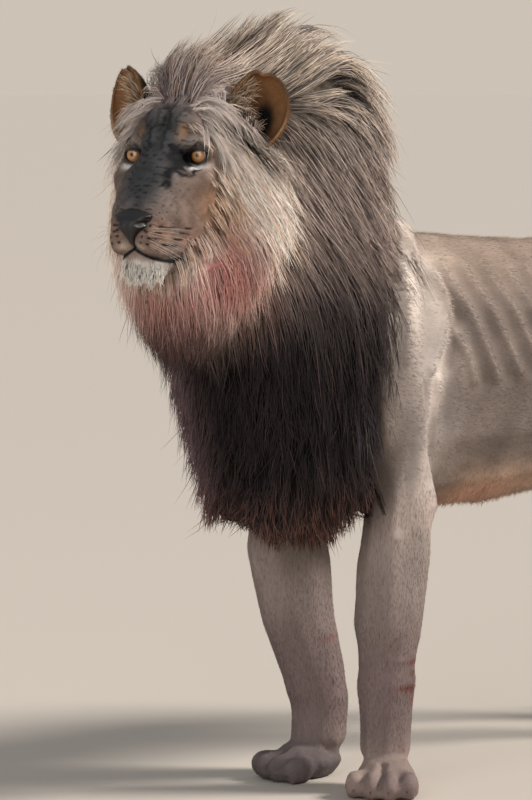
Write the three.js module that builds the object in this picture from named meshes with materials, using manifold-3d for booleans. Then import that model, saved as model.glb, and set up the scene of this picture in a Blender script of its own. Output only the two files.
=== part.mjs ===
// A standing male lion at life size, in millimetres, +Z up, facing -Y, its left side at +X.
// The whole body is modelled as one closed form out to the tips of its short coat, then parted
// with thin cuts into the parts a person would name. The mane is a second form, out to the tips
// of its hair, with the body taken out of it.
import * as THREE from "three";
import { mergeVertices } from "three/addons/utils/BufferGeometryUtils.js";
import Module from "manifold-3d";

const wasm = await Module();
wasm.setup();

// ---- Driving dimensions, mm ----
const WITHERS = 1115; // floor to the top of the shoulders
const BELLY = 526; // floor to the keel of the chest
const RUMP_Y = 1075; // shoulders (y = 0) to the seat of the tail
const TRUNK_HALF = 176; // half the width of the rib cage
const EYE = new THREE.Vector3(95, -543, 1241); // midpoint between the eyes
const HEAD_TURN = 0.436; // the head looks 25 degrees to its own left
const EYE_APART = 132; // between the two pupils
const EYE_R = 20; // radius of an eyeball
const STANCE_FORE = 99; // each fore wrist from the mid-plane
const STANCE_HIND = 112; // each hind paw from the mid-plane
const GAP = 0.4; // thin cut between two neighbouring parts
const SOLE_SINK = 7; // how far the pads are pressed flat against the floor
const FAR = 4000; // larger than the animal

const X = new THREE.Vector3(1, 0, 0);
const IDENTITY = new THREE.Matrix4();
const mix = THREE.MathUtils.lerp;

// ---- Solids from three.js geometry ----

/** A closed geometry as a solid, with only its positions kept and shared corners merged. */
function solidOf(geometry) {
  const bare = new THREE.BufferGeometry().setAttribute("position", geometry.getAttribute("position"));
  if (geometry.index) bare.setIndex(geometry.index);
  const merged = mergeVertices(bare, 1e-3);
  const corners = [...merged.index.array];
  const kept = [];
  for (let i = 0; i < corners.length; i += 3) {
    const [a, b, c] = corners.slice(i, i + 3);
    if (a !== b && b !== c && a !== c) kept.push(a, b, c); // drops the flat triangles at a pole
  }
  return new wasm.Manifold(
    new wasm.Mesh({
      numProp: 3,
      vertProperties: new Float32Array(merged.attributes.position.array),
      triVerts: new Uint32Array(kept),
    }),
  );
}

/** The faces of a solid's largest closed body, which leaves out the crumbs of a cut. */
function largestBody(positions, corners) {
  const leader = Array.from({ length: positions.length / 3 }, (_, i) => i);
  const find = (i) => {
    while (leader[i] !== i) i = leader[i] = leader[leader[i]];
    return i;
  };
  const triangles = [];
  for (let i = 0; i < corners.length; i += 3) {
    const triangle = corners.slice(i, i + 3);
    triangles.push(triangle);
    for (const corner of triangle) leader[find(corner)] = find(triangle[0]);
  }
  const volumes = new Map();
  const point = (i) => new THREE.Vector3().fromArray(positions, i * 3);
  for (const triangle of triangles) {
    const [a, b, c] = [...triangle].map(point);
    const key = find(triangle[0]);
    volumes.set(key, (volumes.get(key) ?? 0) + a.dot(b.cross(c)));
  }
  const [largest] = [...volumes].sort((one, other) => other[1] - one[1])[0];
  return triangles.filter((triangle) => find(triangle[0]) === largest).flatMap((triangle) => [...triangle]);
}

/** A solid as a three.js geometry. */
function geometryOf(solid) {
  const mesh = solid.getMesh();
  const points = new Float32Array(mesh.numVert * 3);
  for (let i = 0; i < mesh.numVert; i++) {
    points.set(mesh.vertProperties.subarray(i * mesh.numProp, i * mesh.numProp + 3), i * 3);
  }
  const geometry = new THREE.BufferGeometry();
  geometry.setAttribute("position", new THREE.BufferAttribute(points, 3));
  geometry.setIndex(largestBody(points, mesh.triVerts));
  return geometry;
}

/** The solids joined into one. */
const joined = (solids) => solids.reduce((all, one) => all.add(one));

/** An ellipsoid: centre, half sizes, tilt about X then turn about Z, and its facets round and up. */
function ellipsoid({ at, size, tilt = 0, turn = 0, place = IDENTITY, grow = 0, fine = 8, rows = 4 }) {
  const ball = new THREE.SphereGeometry(1, fine, rows).rotateX(Math.PI / 2);
  ball.scale(...size.map((s) => s + grow));
  ball.rotateX(tilt).rotateZ(turn).translate(...at);
  return solidOf(ball.applyMatrix4(place));
}

/** A box from its lowest to its highest corner, widened by grow on each side. */
function block({ low, high, place = IDENTITY, grow = 0 }) {
  const size = high.map((h, i) => h - low[i] + 2 * grow);
  const box = new THREE.BoxGeometry(...size).translate(...high.map((h, i) => (h + low[i]) / 2));
  return solidOf(box.applyMatrix4(place));
}

/** A sine or cosine bent so that the outline it draws is an ellipse at power 2 and squarer above. */
const rounded = (value, power) => Math.sign(value) * Math.abs(value) ** (2 / power);

/**
 * A closed skin through stations along a path. Each station has a centre `at` and the reach of
 * its outline to the animal's left and right and, across those, `over` and `under`: up and down
 * on the trunk and head, back and front on a leg. `power` 2 is an ellipse, more is squarer.
 * `caps` are the lengths of the rounded ends.
 */
function loft({ stations, rings, around, caps, place = IDENTITY, grow = 0 }) {
  const curve = (pick) => new THREE.CatmullRomCurve3(stations.map(pick), false, "catmullrom", 0.5);
  const centre = curve((s) => new THREE.Vector3(...s.at));
  const wide = curve((s) => new THREE.Vector3(s.left, s.right, s.power ?? 2));
  const tall = curve((s) => new THREE.Vector3(s.over, s.under, s.spin ?? 0));
  const CAP_RINGS = 2;
  const outline = [];
  for (let k = 1; k <= CAP_RINGS; k++) {
    const angle = (Math.PI / 2) * (k / (CAP_RINGS + 1));
    outline.push({ t: 0, push: -(caps[0] + grow) * Math.cos(angle), shrink: Math.sin(angle) });
  }
  for (let k = 0; k <= rings; k++) outline.push({ t: k / rings, push: 0, shrink: 1 });
  for (let k = CAP_RINGS; k >= 1; k--) {
    const angle = (Math.PI / 2) * (k / (CAP_RINGS + 1));
    outline.push({ t: 1, push: (caps[1] + grow) * Math.cos(angle), shrink: Math.sin(angle) });
  }
  const positions = [];
  const pole = (t, push) => centre.getPoint(t).addScaledVector(centre.getTangent(t), push);
  positions.push(...pole(0, -(caps[0] + grow)));
  for (const { t, push, shrink } of outline) {
    const along = centre.getTangent(t);
    const spin = tall.getPoint(t).z;
    const side = X.clone().addScaledVector(along, -X.dot(along)).normalize().applyAxisAngle(along, spin);
    const over = side.clone().cross(along);
    const middle = pole(t, push);
    const [left, right, power] = wide.getPoint(t).toArray();
    const [upper, lower] = tall.getPoint(t).toArray();
    for (let j = 0; j < around; j++) {
      const angle = (2 * Math.PI * j) / around;
      const c = Math.cos(angle);
      const s = Math.sin(angle);
      const across = ((c > 0 ? left : right) + grow) * shrink * rounded(c, power);
      const up = ((s > 0 ? upper : lower) + grow) * shrink * rounded(s, power);
      positions.push(...middle.clone().addScaledVector(side, across).addScaledVector(over, up));
    }
  }
  positions.push(...pole(1, caps[1] + grow));
  const corner = (ring, j) => 1 + ring * around + (j % around);
  const lastRing = outline.length - 1;
  const tip = positions.length / 3 - 1;
  const faces = [];
  for (let j = 0; j < around; j++) {
    faces.push(0, corner(0, j), corner(0, j + 1));
    for (let ring = 0; ring < lastRing; ring++) {
      const [a, b] = [corner(ring, j), corner(ring + 1, j)];
      const [c, d] = [corner(ring, j + 1), corner(ring + 1, j + 1)];
      faces.push(a, b, c, c, b, d);
    }
    faces.push(tip, corner(lastRing, j + 1), corner(lastRing, j));
  }
  const geometry = new THREE.BufferGeometry();
  geometry.setAttribute("position", new THREE.Float32BufferAttribute(positions, 3));
  geometry.setIndex(faces);
  return solidOf(geometry.applyMatrix4(place));
}

// ---- The body's forms. Each takes how far it is grown, so that a neighbour can clear it ----

/** A trunk station from its height above the floor at top and bottom, and its half width. */
function trunkStation(y, top, bottom, half, power = 2.1) {
  const z = mix(bottom, top, 0.52);
  return { at: [0, y, z], left: half, right: half, over: top - z, under: z - bottom, power };
}

/** Rib cage, loin and rump: deep in front, lean, and tucked up towards the hind legs. */
function trunk(grow) {
  return loft({
    stations: [
      trunkStation(-175, 915, 660, 96),
      trunkStation(-110, 1010, 590, 136),
      trunkStation(-20, WITHERS - 35, BELLY + 12, TRUNK_HALF - 18, 2.2),
      trunkStation(90, WITHERS - 22, BELLY, TRUNK_HALF - 6, 2.2),
      trunkStation(230, WITHERS - 32, BELLY - 2, TRUNK_HALF),
      trunkStation(380, WITHERS - 42, BELLY + 4, TRUNK_HALF - 2),
      trunkStation(530, WITHERS - 46, BELLY + 22, TRUNK_HALF - 14),
      trunkStation(680, WITHERS - 40, BELLY + 58, TRUNK_HALF - 36),
      trunkStation(820, WITHERS - 34, BELLY + 92, TRUNK_HALF - 44),
      trunkStation(940, WITHERS - 48, BELLY + 140, TRUNK_HALF - 52),
      trunkStation(RUMP_Y - 45, WITHERS - 92, BELLY + 220, TRUNK_HALF - 86),
    ],
    rings: 9,
    around: 14,
    caps: [46, 40],
    grow,
  });
}

/** The neck, from the back of the skull down to between the shoulders. */
function neck(grow) {
  const station = (x, y, z, half, over, under) => ({ at: [x, y, z], left: half, right: half, over, under });
  return loft({
    stations: [
      station(58, -462, 1212, 92, 112, 104),
      station(42, -400, 1162, 98, 120, 112),
      station(20, -290, 1070, 104, 138, 128),
      station(6, -160, 970, 112, 170, 150),
      station(0, -20, 875, 118, 205, 190),
    ],
    rings: 2,
    around: 8,
    caps: [30, 40],
    grow,
  });
}

/** Places a form given about the eyes' midpoint, looking along -Y, into the turned head. */
const headPlace = new THREE.Matrix4().makeRotationZ(HEAD_TURN).setPosition(EYE);

/** A head station: how far in front of or behind the eyes, its centre height and its reaches. */
function headStation(y, z, over, under, half, power) {
  return { at: [0, y, z], left: half, right: half, over, under, power };
}

/** Muzzle, face, skull and lower jaw, from the tip of the nose back to the neck. */
function head(grow) {
  const place = headPlace;
  const skull = loft({
    stations: [
      headStation(-126, -136, 37, 76, 56, 2.5),
      headStation(-98, -126, 57, 98, 65, 2.6),
      headStation(-66, -115, 80, 116, 70, 2.6),
      headStation(-32, -103, 105, 129, 84, 2.4),
      headStation(0, -92, 129, 136, 98, 2.3),
      headStation(36, -79, 155, 136, 108, 2.2),
      headStation(76, -65, 174, 125, 114, 2.1),
      headStation(120, -50, 171, 102, 110, 2),
      headStation(165, -34, 138, 84, 84, 2),
    ],
    rings: 9,
    around: 14,
    caps: [16, 34],
    place,
    grow,
  });
  const whiskerPad = (side) =>
    ellipsoid({ at: [side * 34, -102, -144], size: [36, 50, 38], place, grow });
  const chin = ellipsoid({ at: [0, -82, -198], size: [52, 42, 27], place, grow });
  return joined([skull, whiskerPad(1), whiskerPad(-1), chin]);
}

/** A leg station, with its reach to either side, behind and in front. */
function legStation(x, y, z, half, behind, ahead, spin = 0) {
  return { at: [x, y, z], left: half, right: half, over: behind, under: ahead, power: 2.2, spin };
}

/**
 * A fore leg from the top of the shoulder blade to the wrist. `lean` carries the elbow forward of
 * the foot, `turn` turns the foot out, and `deep` thickens the forearm from front to back.
 */
function foreLeg(side, { lean, turn, deep }, grow) {
  const x = (out) => side * (STANCE_FORE + out);
  return loft({
    stations: [
      legStation(x(-16), 36, WITHERS - 30, 42, 52, 56),
      legStation(x(16), 12, 950, 58, 80, 96),
      legStation(x(36), -18 - lean * 0.5, 820, 68, 74, 116),
      legStation(x(40), -10 - lean, 700, 66, 60, 104),
      legStation(x(32), 4 - lean, 590, 60, 68, 88),
      legStation(x(22), -2 - lean, 470, 64, 72 * deep, 80 * deep),
      legStation(x(12), -12 - lean * 0.56, 320, 66, 67 * mix(1, deep, 0.4), 69 * mix(1, deep, 0.4)),
      legStation(x(2), -4 - lean * 0.2, 210, 68, 59, 58, turn * 0.7),
      legStation(x(0), 0, 140, 65, 54, 54, turn),
      legStation(x(0), -4, 76, 62, 54, 52, turn),
    ],
    rings: 9,
    around: 8,
    caps: [22, 26],
    grow,
  });
}

/** A hind leg from the hip to the heel of the paw. `ahead` moves its foot forward. */
function hindLeg(side, ahead, grow) {
  const x = (out) => side * (STANCE_HIND + out);
  return loft({
    stations: [
      legStation(x(-28), 930, 955, 58, 92, 96),
      legStation(x(-4), 890 - ahead * 0.1, 850, 66, 136, 132),
      legStation(x(12), 850 - ahead * 0.3, 720, 66, 140, 120),
      legStation(x(20), 850 - ahead * 0.5, 610, 60, 118, 92),
      legStation(x(14), 904 - ahead * 0.6, 505, 48, 84, 64),
      legStation(x(4), 984 - ahead * 0.8, 405, 37, 56, 50),
      legStation(x(0), 1014 - ahead, 330, 36, 48, 42),
      legStation(x(0), 1002 - ahead, 240, 37, 36, 38),
      legStation(x(0), 990 - ahead, 140, 41, 38, 40),
      legStation(x(0), 974 - ahead, 72, 48, 42, 48),
    ],
    rings: 9,
    around: 8,
    caps: [24, 26],
    grow,
  });
}

/** A paw: a broad instep and four toes, flattened where it stands on the floor. */
function paw({ at, turn, half, long, grow }) {
  const place = new THREE.Matrix4().makeRotationZ(turn).setPosition(...at, -SOLE_SINK);
  const parts = [
    ellipsoid({ at: [0, 2, 40], size: [half * 0.92, long * 0.45, 46], place, grow }),
  ];
  const TOES = [-1.5, -0.5, 0.5, 1.5];
  for (const toe of TOES) {
    const inner = Math.abs(toe) < 1;
    parts.push(
      ellipsoid({
        at: [toe * half * 0.5, inner ? -long * 0.38 : -long * 0.3, 30],
        size: [half * 0.36, long * 0.22, inner ? 36 : 33],
        turn: toe * 0.1,
        place,
        grow,
        fine: 6,
        rows: 4,
      }),
    );
  }
  return joined(parts);
}

/** The tail, hanging behind the hind legs, with its dark tuft. */
function tail(grow) {
  const station = (x, y, z, r) => ({ at: [x, y, z], left: r, right: r, over: r, under: r });
  return loft({
    stations: [
      station(0, RUMP_Y - 70, 985, 44),
      station(2, RUMP_Y + 10, 948, 38),
      station(6, RUMP_Y + 62, 860, 28),
      station(12, RUMP_Y + 84, 740, 22),
      station(14, RUMP_Y + 92, 600, 18),
      station(6, RUMP_Y + 100, 470, 16),
      station(-8, RUMP_Y + 120, 370, 18),
      station(-22, RUMP_Y + 146, 300, 40),
      station(-34, RUMP_Y + 170, 235, 44),
      station(-42, RUMP_Y + 190, 170, 24),
    ],
    rings: 11,
    around: 6,
    caps: [20, 26],
    grow,
  });
}

const LEFT_FORE = { lean: -8, turn: 0.72, deep: 0.96 };
const RIGHT_FORE = { lean: 60, turn: -0.05, deep: 1.3 };
const LEFT_HIND_AHEAD = 70; // the left hind foot is drawn up under the body
const FORE_PAW = { half: 69, long: 190 };
const HIND_PAW = { half: 62, long: 172 };
const PAW_REACH = 40; // from the wrist forward to the middle of a fore paw

/** The muscle that fills the hollow behind a shoulder blade, down to the elbow. */
const shoulderMass = (side, grow) =>
  ellipsoid({ at: [side * 108, 62, 880], size: [66, 104, 180], tilt: 0.16, grow });

/** The whole body, without the mane: one closed form standing on the floor. */
function body(grow) {
  const fore = (side, pose) => [
    foreLeg(side, pose, grow),
    shoulderMass(side, grow),
    paw({
      at: [side * STANCE_FORE + PAW_REACH * Math.sin(pose.turn), 6 - PAW_REACH * Math.cos(pose.turn)],
      turn: pose.turn,
      ...FORE_PAW,
      grow,
    }),
  ];
  const hind = (side, ahead) => [
    hindLeg(side, ahead, grow),
    paw({ at: [side * STANCE_HIND, 928 - ahead], turn: side * 0.12, ...HIND_PAW, grow }),
  ];
  const all = joined([
    trunk(grow),
    neck(grow),
    head(grow),
    ...fore(1, LEFT_FORE),
    ...fore(-1, RIGHT_FORE),
    ...hind(1, LEFT_HIND_AHEAD),
    ...hind(-1, 0),
    tail(grow),
  ]);
  return all.subtract(block({ low: [-FAR, -FAR, -FAR], high: [FAR, FAR, -grow] }));
}

// ---- Parting a form into named parts ----

/** Takes each region's share of the form in turn, leaving a thin cut, and names what is left. */
function partInto(form, regions, restName) {
  const parts = {};
  let rest = form;
  for (const [name, region] of Object.entries(regions)) {
    parts[name] = rest.intersect(block(region));
    rest = rest.subtract(block({ ...region, grow: GAP }));
  }
  parts[restName] = rest;
  return parts;
}

/** A region of the body's own frame. */
const region = (low, high, place = IDENTITY) => ({ low, high, place });

const neckBase = new THREE.Matrix4().makeRotationX(-0.72).setPosition(0, -118, 930);
const jawPlace = headPlace.clone().multiply(new THREE.Matrix4().makeRotationX(0.1));

/** Left and right twins of a region, given for the left side. */
function twins(name, low, high) {
  return {
    [`${name}_left`]: region(low, high),
    [`${name}_right`]: region([-high[0], low[1], low[2]], [-low[0], high[1], high[2]]),
  };
}

const bodyRegions = {
  lower_jaw: region([-150, -260, -400], [150, 24, -180], jawPlace),
  head: region([-400, -400, -400], [400, 148, 400], headPlace),
  ...twins("fore_paw", [0, -500, -60], [400, 300, 112]),
  ...twins("forearm", [0, -500, -60], [400, 150, 500]),
  ...twins("shoulder", [112, -170, 440], [400, 150, 1300]),
  neck: region([-400, -900, -400], [400, 0, 900], neckBase),
  chest: region([-400, -500, 400], [400, 150, 1400]),
  ...twins("hind_paw", [0, 500, -60], [400, 1120, 96]),
  ...twins("hock", [0, 500, -60], [400, 1120, 400]),
  ...twins("shank", [0, 500, 0], [400, 1120, 540]),
  ...twins("thigh", [72, 690, 0], [400, 1200, 1010]),
  tail_tuft: region([-200, 1090, 0], [200, 1600, 352]),
  tail: region([-200, 1090, 0], [200, 1600, 1200]),
  loin: region([-400, 0, 400], [400, 690, 1400]),
};

// ---- Ears, eyes and nose ----

/** A round ear: a cup open to the front and side, thin at its rim, rooted in the skull. */
function ear(side, lift, grow) {
  const place = headPlace
    .clone()
    .multiply(new THREE.Matrix4().makeTranslation(side * 137, 106, 82 + lift))
    .multiply(new THREE.Matrix4().makeRotationZ(side * 0.5))
    .multiply(new THREE.Matrix4().makeRotationY(side * 0.3));
  const cup = ellipsoid({ at: [0, 6, 0], size: [58, 36, 70], place, grow, fine: 9, rows: 5 });
  const hollow = ellipsoid({ at: [0, -30, 12], size: [47, 44, 54], place, grow: -grow });
  return cup.subtract(hollow);
}

/** An eyeball, set so that it shows between the lids. */
function eye(side, grow) {
  const at = [(side * EYE_APART) / 2, -12, 0];
  return ellipsoid({ at, size: [EYE_R, EYE_R, EYE_R], place: headPlace, grow });
}

/** The socket in front of an eye, between the lids. */
function socket(side) {
  const at = [side * (EYE_APART / 2 - 2), -38, -1];
  return ellipsoid({ at, size: [27, 26, 17], turn: side * 0.2, place: headPlace });
}

/** The bare nose pad at the tip of the muzzle, narrowing to the split of the lip. */
function nose(grow) {
  const place = headPlace;
  const pad = ellipsoid({ at: [0, -140, -116], size: [43, 18, 23], tilt: -0.3, place, grow });
  const stem = ellipsoid({ at: [0, -143, -142], size: [12, 10, 20], place, grow, fine: 6, rows: 3 });
  return pad.add(stem);
}

// ---- The mane ----

/** A level slice of the mane: its centre, and its reach forward, back and to each side. */
function maneStation(x, y, z, ahead, behind, half, power = 2.1) {
  return { at: [x, y, z], left: half, right: half, over: behind, under: ahead, power };
}

/** Crest, nape, neck and chest hair as level slices from the crown down to the hanging fringe. */
function maneCurtain() {
  return loft({
    stations: [
      maneStation(48, -262, 1466, 60, 70, 46),
      maneStation(48, -262, 1425, 120, 160, 90),
      maneStation(46, -250, 1345, 180, 244, 138),
      maneStation(34, -232, 1250, 180, 252, 168),
      maneStation(26, -214, 1160, 195, 244, 186),
      maneStation(22, -200, 1070, 226, 224, 200, 2.3),
      maneStation(16, -190, 980, 244, 178, 212, 2.5),
      maneStation(10, -180, 880, 226, 136, 218, 2.7),
      maneStation(6, -172, 780, 206, 116, 218, 2.7),
      maneStation(4, -166, 690, 190, 106, 210, 2.5),
      maneStation(2, -160, 605, 176, 112, 206, 2.3),
      maneStation(0, -160, 535, 176, 96, 160),
    ],
    rings: 9,
    around: 14,
    caps: [26, 40],
  });
}

/** A level slice of the hair about the face, in the head's frame: its half width, front and back. */
function ruffStation(z, half, front, back) {
  const reach = (back - front) / 2;
  return { at: [6, front + reach, z], left: half + 6, right: half - 4, over: reach, under: reach };
}

/** The pale ruff that frames the face, the tuft between the ears and the beard under the jaw. */
function ruff() {
  const place = headPlace;
  const frame = loft({
    stations: [
      ruffStation(112, 112, 50, 220),
      ruffStation(50, 152, 22, 236),
      ruffStation(-20, 176, 2, 244),
      ruffStation(-90, 186, -10, 244),
      ruffStation(-150, 178, -26, 236),
      ruffStation(-205, 156, -58, 216),
      ruffStation(-255, 120, -72, 190),
      ruffStation(-310, 84, -34, 160),
      ruffStation(-350, 50, 6, 130),
    ],
    rings: 7,
    around: 12,
    caps: [30, 26],
    place,
  });
  const crown = ellipsoid({ at: [0, 142, 96], size: [132, 122, 98], place, fine: 9, rows: 5 });
  return frame.add(crown);
}

/** The mane's form, open before the face, with the body, ears and eyes taken out of it. */
function mane(clearOf) {
  const HAIRLINE = 36; // behind the eyes
  const JAW_LINE = -150; // below the eyes
  const jawSlope = new THREE.Matrix4().makeRotationX(0.62).setPosition(0, HAIRLINE, JAW_LINE);
  const openings = [
    block({ low: [-FAR, -FAR, JAW_LINE], high: [FAR, HAIRLINE, FAR], place: headPlace }),
    block({ low: [-FAR, -FAR, 0], high: [FAR, 0, FAR], place: headPlace.clone().multiply(jawSlope) }),
  ];
  return maneCurtain().add(ruff()).subtract(joined([...openings, clearOf]));
}

const maneRegions = {
  mane_crown: region([-400, -900, 1300], [400, 200, 1700]),
  mane_ruff_left: region([0, -400, -140], [400, 112, 400], headPlace),
  mane_ruff_right: region([-400, -400, -140], [0, 112, 400], headPlace),
  mane_beard: region([-400, -400, -400], [400, 90, -140], headPlace),
  mane_neck_left: region([30, -900, 1010], [400, 300, 1400]),
  mane_neck_right: region([-400, -900, 1010], [30, 300, 1400]),
  mane_chest_left: region([0, -900, 660], [400, 300, 1010]),
  mane_chest_right: region([-400, -900, 660], [0, 300, 1010]),
};

// ---- Finishes ----

const finish = (color, roughness) => new THREE.MeshStandardMaterial({ color, roughness, metalness: 0 });
const finishes = {
  coat: () => finish(0xb59a80, 0.9),
  face: () => finish(0x9a8673, 0.85),
  ear: () => finish(0x8a5f3a, 0.85),
  maneDark: () => finish(0x2a2120, 0.9),
  maneMid: () => finish(0x75665a, 0.9),
  manePale: () => finish(0xb69b83, 0.9),
  eye: () => finish(0xb98b45, 0.1),
  nose: () => finish(0x2b2427, 0.45),
};
const finishOf = {
  head: "face",
  lower_jaw: "face",
  tail_tuft: "maneDark",
  mane_crown: "maneMid",
  mane_ruff_left: "manePale",
  mane_ruff_right: "manePale",
  mane_beard: "manePale",
  mane_neck_left: "maneMid",
  mane_neck_right: "maneMid",
  mane_chest_left: "maneDark",
  mane_chest_right: "maneDark",
  mane_fringe: "maneDark",
};

// ---- Assembly ----

const eyesGrown = eye(1, GAP).add(eye(-1, GAP));
const EAR_LIFT = { left: 0, right: 8 };
const bodyForm = body(0).subtract(joined([eyesGrown, nose(GAP), socket(1), socket(-1)]));
const bodyGrown = body(GAP);
const earsGrown = ear(1, EAR_LIFT.left, GAP).add(ear(-1, EAR_LIFT.right, GAP));
const bodyParts = partInto(bodyForm, bodyRegions, "rump");
const maneParts = partInto(mane(bodyGrown.add(earsGrown)), maneRegions, "mane_fringe");
const details = {
  ear_left: ["ear", ear(1, EAR_LIFT.left, 0).subtract(bodyGrown)],
  ear_right: ["ear", ear(-1, EAR_LIFT.right, 0).subtract(bodyGrown)],
  eye_left: ["eye", eye(1, 0)],
  eye_right: ["eye", eye(-1, 0)],
  nose_pad: ["nose", nose(0)],
};

const lion = new THREE.Group();
function addNode(name, kind, solid) {
  const mesh = new THREE.Mesh(geometryOf(solid), finishes[kind]());
  mesh.name = name;
  lion.add(mesh);
}
for (const [name, solid] of Object.entries({ ...bodyParts, ...maneParts })) {
  addNode(name, finishOf[name] ?? "coat", solid);
}
for (const [name, [kind, solid]] of Object.entries(details)) addNode(name, kind, solid);

// The origin is on the floor, under the middle of the animal's box.
const box = new THREE.Box3().setFromObject(lion);
const middle = box.getCenter(new THREE.Vector3());
lion.position.set(-middle.x, -middle.y, -box.min.z);

export default lion;
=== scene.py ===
"""Life-size museum model of a standing male lion: one skin over the solid frame, with a mesh coat."""

from __future__ import annotations

import logging
import math
from contextlib import contextmanager
from dataclasses import dataclass, field, fields
from enum import Enum
from typing import Callable, Iterator, Sequence

import bpy
import numpy as np
from bpy.types import Material, Mesh, Node, NodeSocket, NodeTree, Object
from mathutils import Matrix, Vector
from mathutils.bvhtree import BVHTree
from numpy.random import Generator, default_rng


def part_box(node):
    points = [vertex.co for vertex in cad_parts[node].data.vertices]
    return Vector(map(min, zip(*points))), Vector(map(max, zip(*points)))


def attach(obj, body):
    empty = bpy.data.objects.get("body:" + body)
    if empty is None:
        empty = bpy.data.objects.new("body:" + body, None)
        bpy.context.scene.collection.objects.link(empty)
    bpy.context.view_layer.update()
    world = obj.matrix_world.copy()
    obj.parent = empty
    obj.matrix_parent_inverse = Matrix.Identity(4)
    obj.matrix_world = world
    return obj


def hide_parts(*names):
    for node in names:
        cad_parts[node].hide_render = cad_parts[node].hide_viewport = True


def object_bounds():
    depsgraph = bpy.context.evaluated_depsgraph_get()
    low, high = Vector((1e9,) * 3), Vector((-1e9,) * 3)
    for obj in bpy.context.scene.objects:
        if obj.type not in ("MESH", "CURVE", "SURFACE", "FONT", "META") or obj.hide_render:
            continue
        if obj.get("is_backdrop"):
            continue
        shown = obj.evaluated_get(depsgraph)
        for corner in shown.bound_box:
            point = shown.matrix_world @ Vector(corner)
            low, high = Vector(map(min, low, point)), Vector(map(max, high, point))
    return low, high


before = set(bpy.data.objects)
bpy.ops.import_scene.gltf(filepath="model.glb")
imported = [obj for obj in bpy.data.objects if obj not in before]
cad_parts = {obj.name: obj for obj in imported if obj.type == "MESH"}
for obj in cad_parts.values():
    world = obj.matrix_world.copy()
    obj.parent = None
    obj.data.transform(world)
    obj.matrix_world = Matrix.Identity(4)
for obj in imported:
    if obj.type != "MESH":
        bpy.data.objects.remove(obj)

LOG = logging.getLogger("lion")
MM = 0.001
UP = np.array([0.0, 0.0, 1.0])
BAKE_MAP = "OFBake"
PATCH = 0.003  # each tuft's patch on the coat's map
TINT = "coat_tint"
NAP = "nap"
IRIS = "iris"
PIECE_LIMIT = 190_000  # faces
FLOOR_GAP = 0.8 * MM  # the coat stays this far off the floor
SLANT = (1.0, 0.7320508, 0.4142136)  # along this, no two vertices of a sphere are level

Array = np.ndarray
Triple = tuple[float, float, float]


class Slot(str, Enum):
    """The record's material slots."""

    COAT = "coat"
    FACE = "face"
    EAR = "ear"
    MANE_DARK = "mane_dark"
    MANE_GREY = "mane_grey"
    MANE_PALE = "mane_pale"
    EYE = "eye"
    NOSE = "nose"
    SKIN = "skin"
    CLAW = "claw"
    WHISKER = "whisker"


# ---- Small helpers ----


def unit(vectors: Array) -> Array:
    """Vectors at length one, along the last axis."""
    return vectors / np.maximum(np.linalg.norm(vectors, axis=-1, keepdims=True), 1e-9)


def ease(values: Array, low: float, high: float) -> Array:
    """A smooth step from 0 at low to 1 at high; high may be below low."""
    t = np.clip((values - low) / (high - low), 0, 1)
    return t * t * (3 - 2 * t)


def mixed(one: Array, other: Array, share: Array | float) -> Array:
    """One blended into other by share, which may hold a value for each row.

    Args:
        one: The value at a share of 0.
        other: The value at a share of 1.
        share: How far towards the other one.

    Returns:
        The blend.
    """
    share = np.asarray(share, float)
    if share.ndim and share.ndim < np.ndim(one):
        share = share[..., None]
    return one * (1 - share) + np.asarray(other) * share


def ripple(points: Array, length: float, seed: int) -> Array:
    """A smooth random field from -1 to 1.

    Args:
        points: Places, one to a row.
        length: Size of its lumps, in metres.
        seed: Picks the field.

    Returns:
        A value for each place.
    """
    rng = default_rng(seed)
    total = np.zeros(len(points))
    for _ in range(7):
        wave = unit(rng.normal(size=3)) * 2 * math.pi / (length * rng.uniform(1.4, 3.2))
        total += np.sin(points @ wave + rng.uniform(0, 6.3))
    return np.clip(total / 4, -1, 1)


def linear(colour: Sequence[float]) -> Array:
    """Display colours as scene values."""
    c = np.clip(np.asarray(colour, float), 0, 1)
    return np.where(c <= 0.04045, c / 12.92, ((c + 0.055) / 1.055) ** 2.4)


def deselect() -> None:
    """Leaves nothing selected or active."""
    for thing in list(bpy.context.selected_objects):
        thing.select_set(False)
    bpy.context.view_layer.objects.active = None


def show(thing: Object) -> None:
    """Puts an object in the scene."""
    bpy.context.scene.collection.objects.link(thing)


def choose(thing: Object) -> None:
    """Makes one object the only selected one, and active."""
    deselect()
    thing.select_set(True)
    bpy.context.view_layer.objects.active = thing


@contextmanager
def editing(action: str | None = "SELECT") -> Iterator[None]:
    """Edit mode on the active object, with everything selected, nothing, or what was."""
    bpy.ops.object.mode_set(mode="EDIT")
    if action:
        bpy.ops.mesh.select_all(action=action)
    yield
    bpy.ops.object.mode_set(mode="OBJECT")


def apply_modifier(thing: Object, kind: str, **settings: object) -> None:
    """Adds a modifier with its settings and applies it.

    Args:
        thing: The object.
        kind: The type of modifier.
        **settings: Its properties.
    """
    choose(thing)
    modifier = thing.modifiers.new(kind.lower(), kind)
    for name, value in settings.items():
        setattr(modifier, name, value)
    bpy.ops.object.modifier_apply(modifier=modifier.name)


def fetched(items: bpy.types.bpy_prop_collection, key: str, width: int = 3, kind: type = np.float32) -> Array:
    """One property of every item of a collection, one item to a row.

    Args:
        items: The collection.
        key: The name of the property.
        width: How many numbers an item has.
        kind: Their type.

    Returns:
        The numbers, items by width.
    """
    flat = np.empty(len(items) * width, kind)
    items.foreach_get(key, flat)
    return flat.reshape(-1, width)


def points_of(mesh: Mesh) -> Array:
    """The mesh's vertices, one to a row."""
    return fetched(mesh.vertices, "co").astype(float)


def set_points(mesh: Mesh, points: Array) -> None:
    """Moves the mesh's vertices."""
    mesh.vertices.foreach_set("co", points.astype(np.float32).ravel())
    mesh.update()


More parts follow.
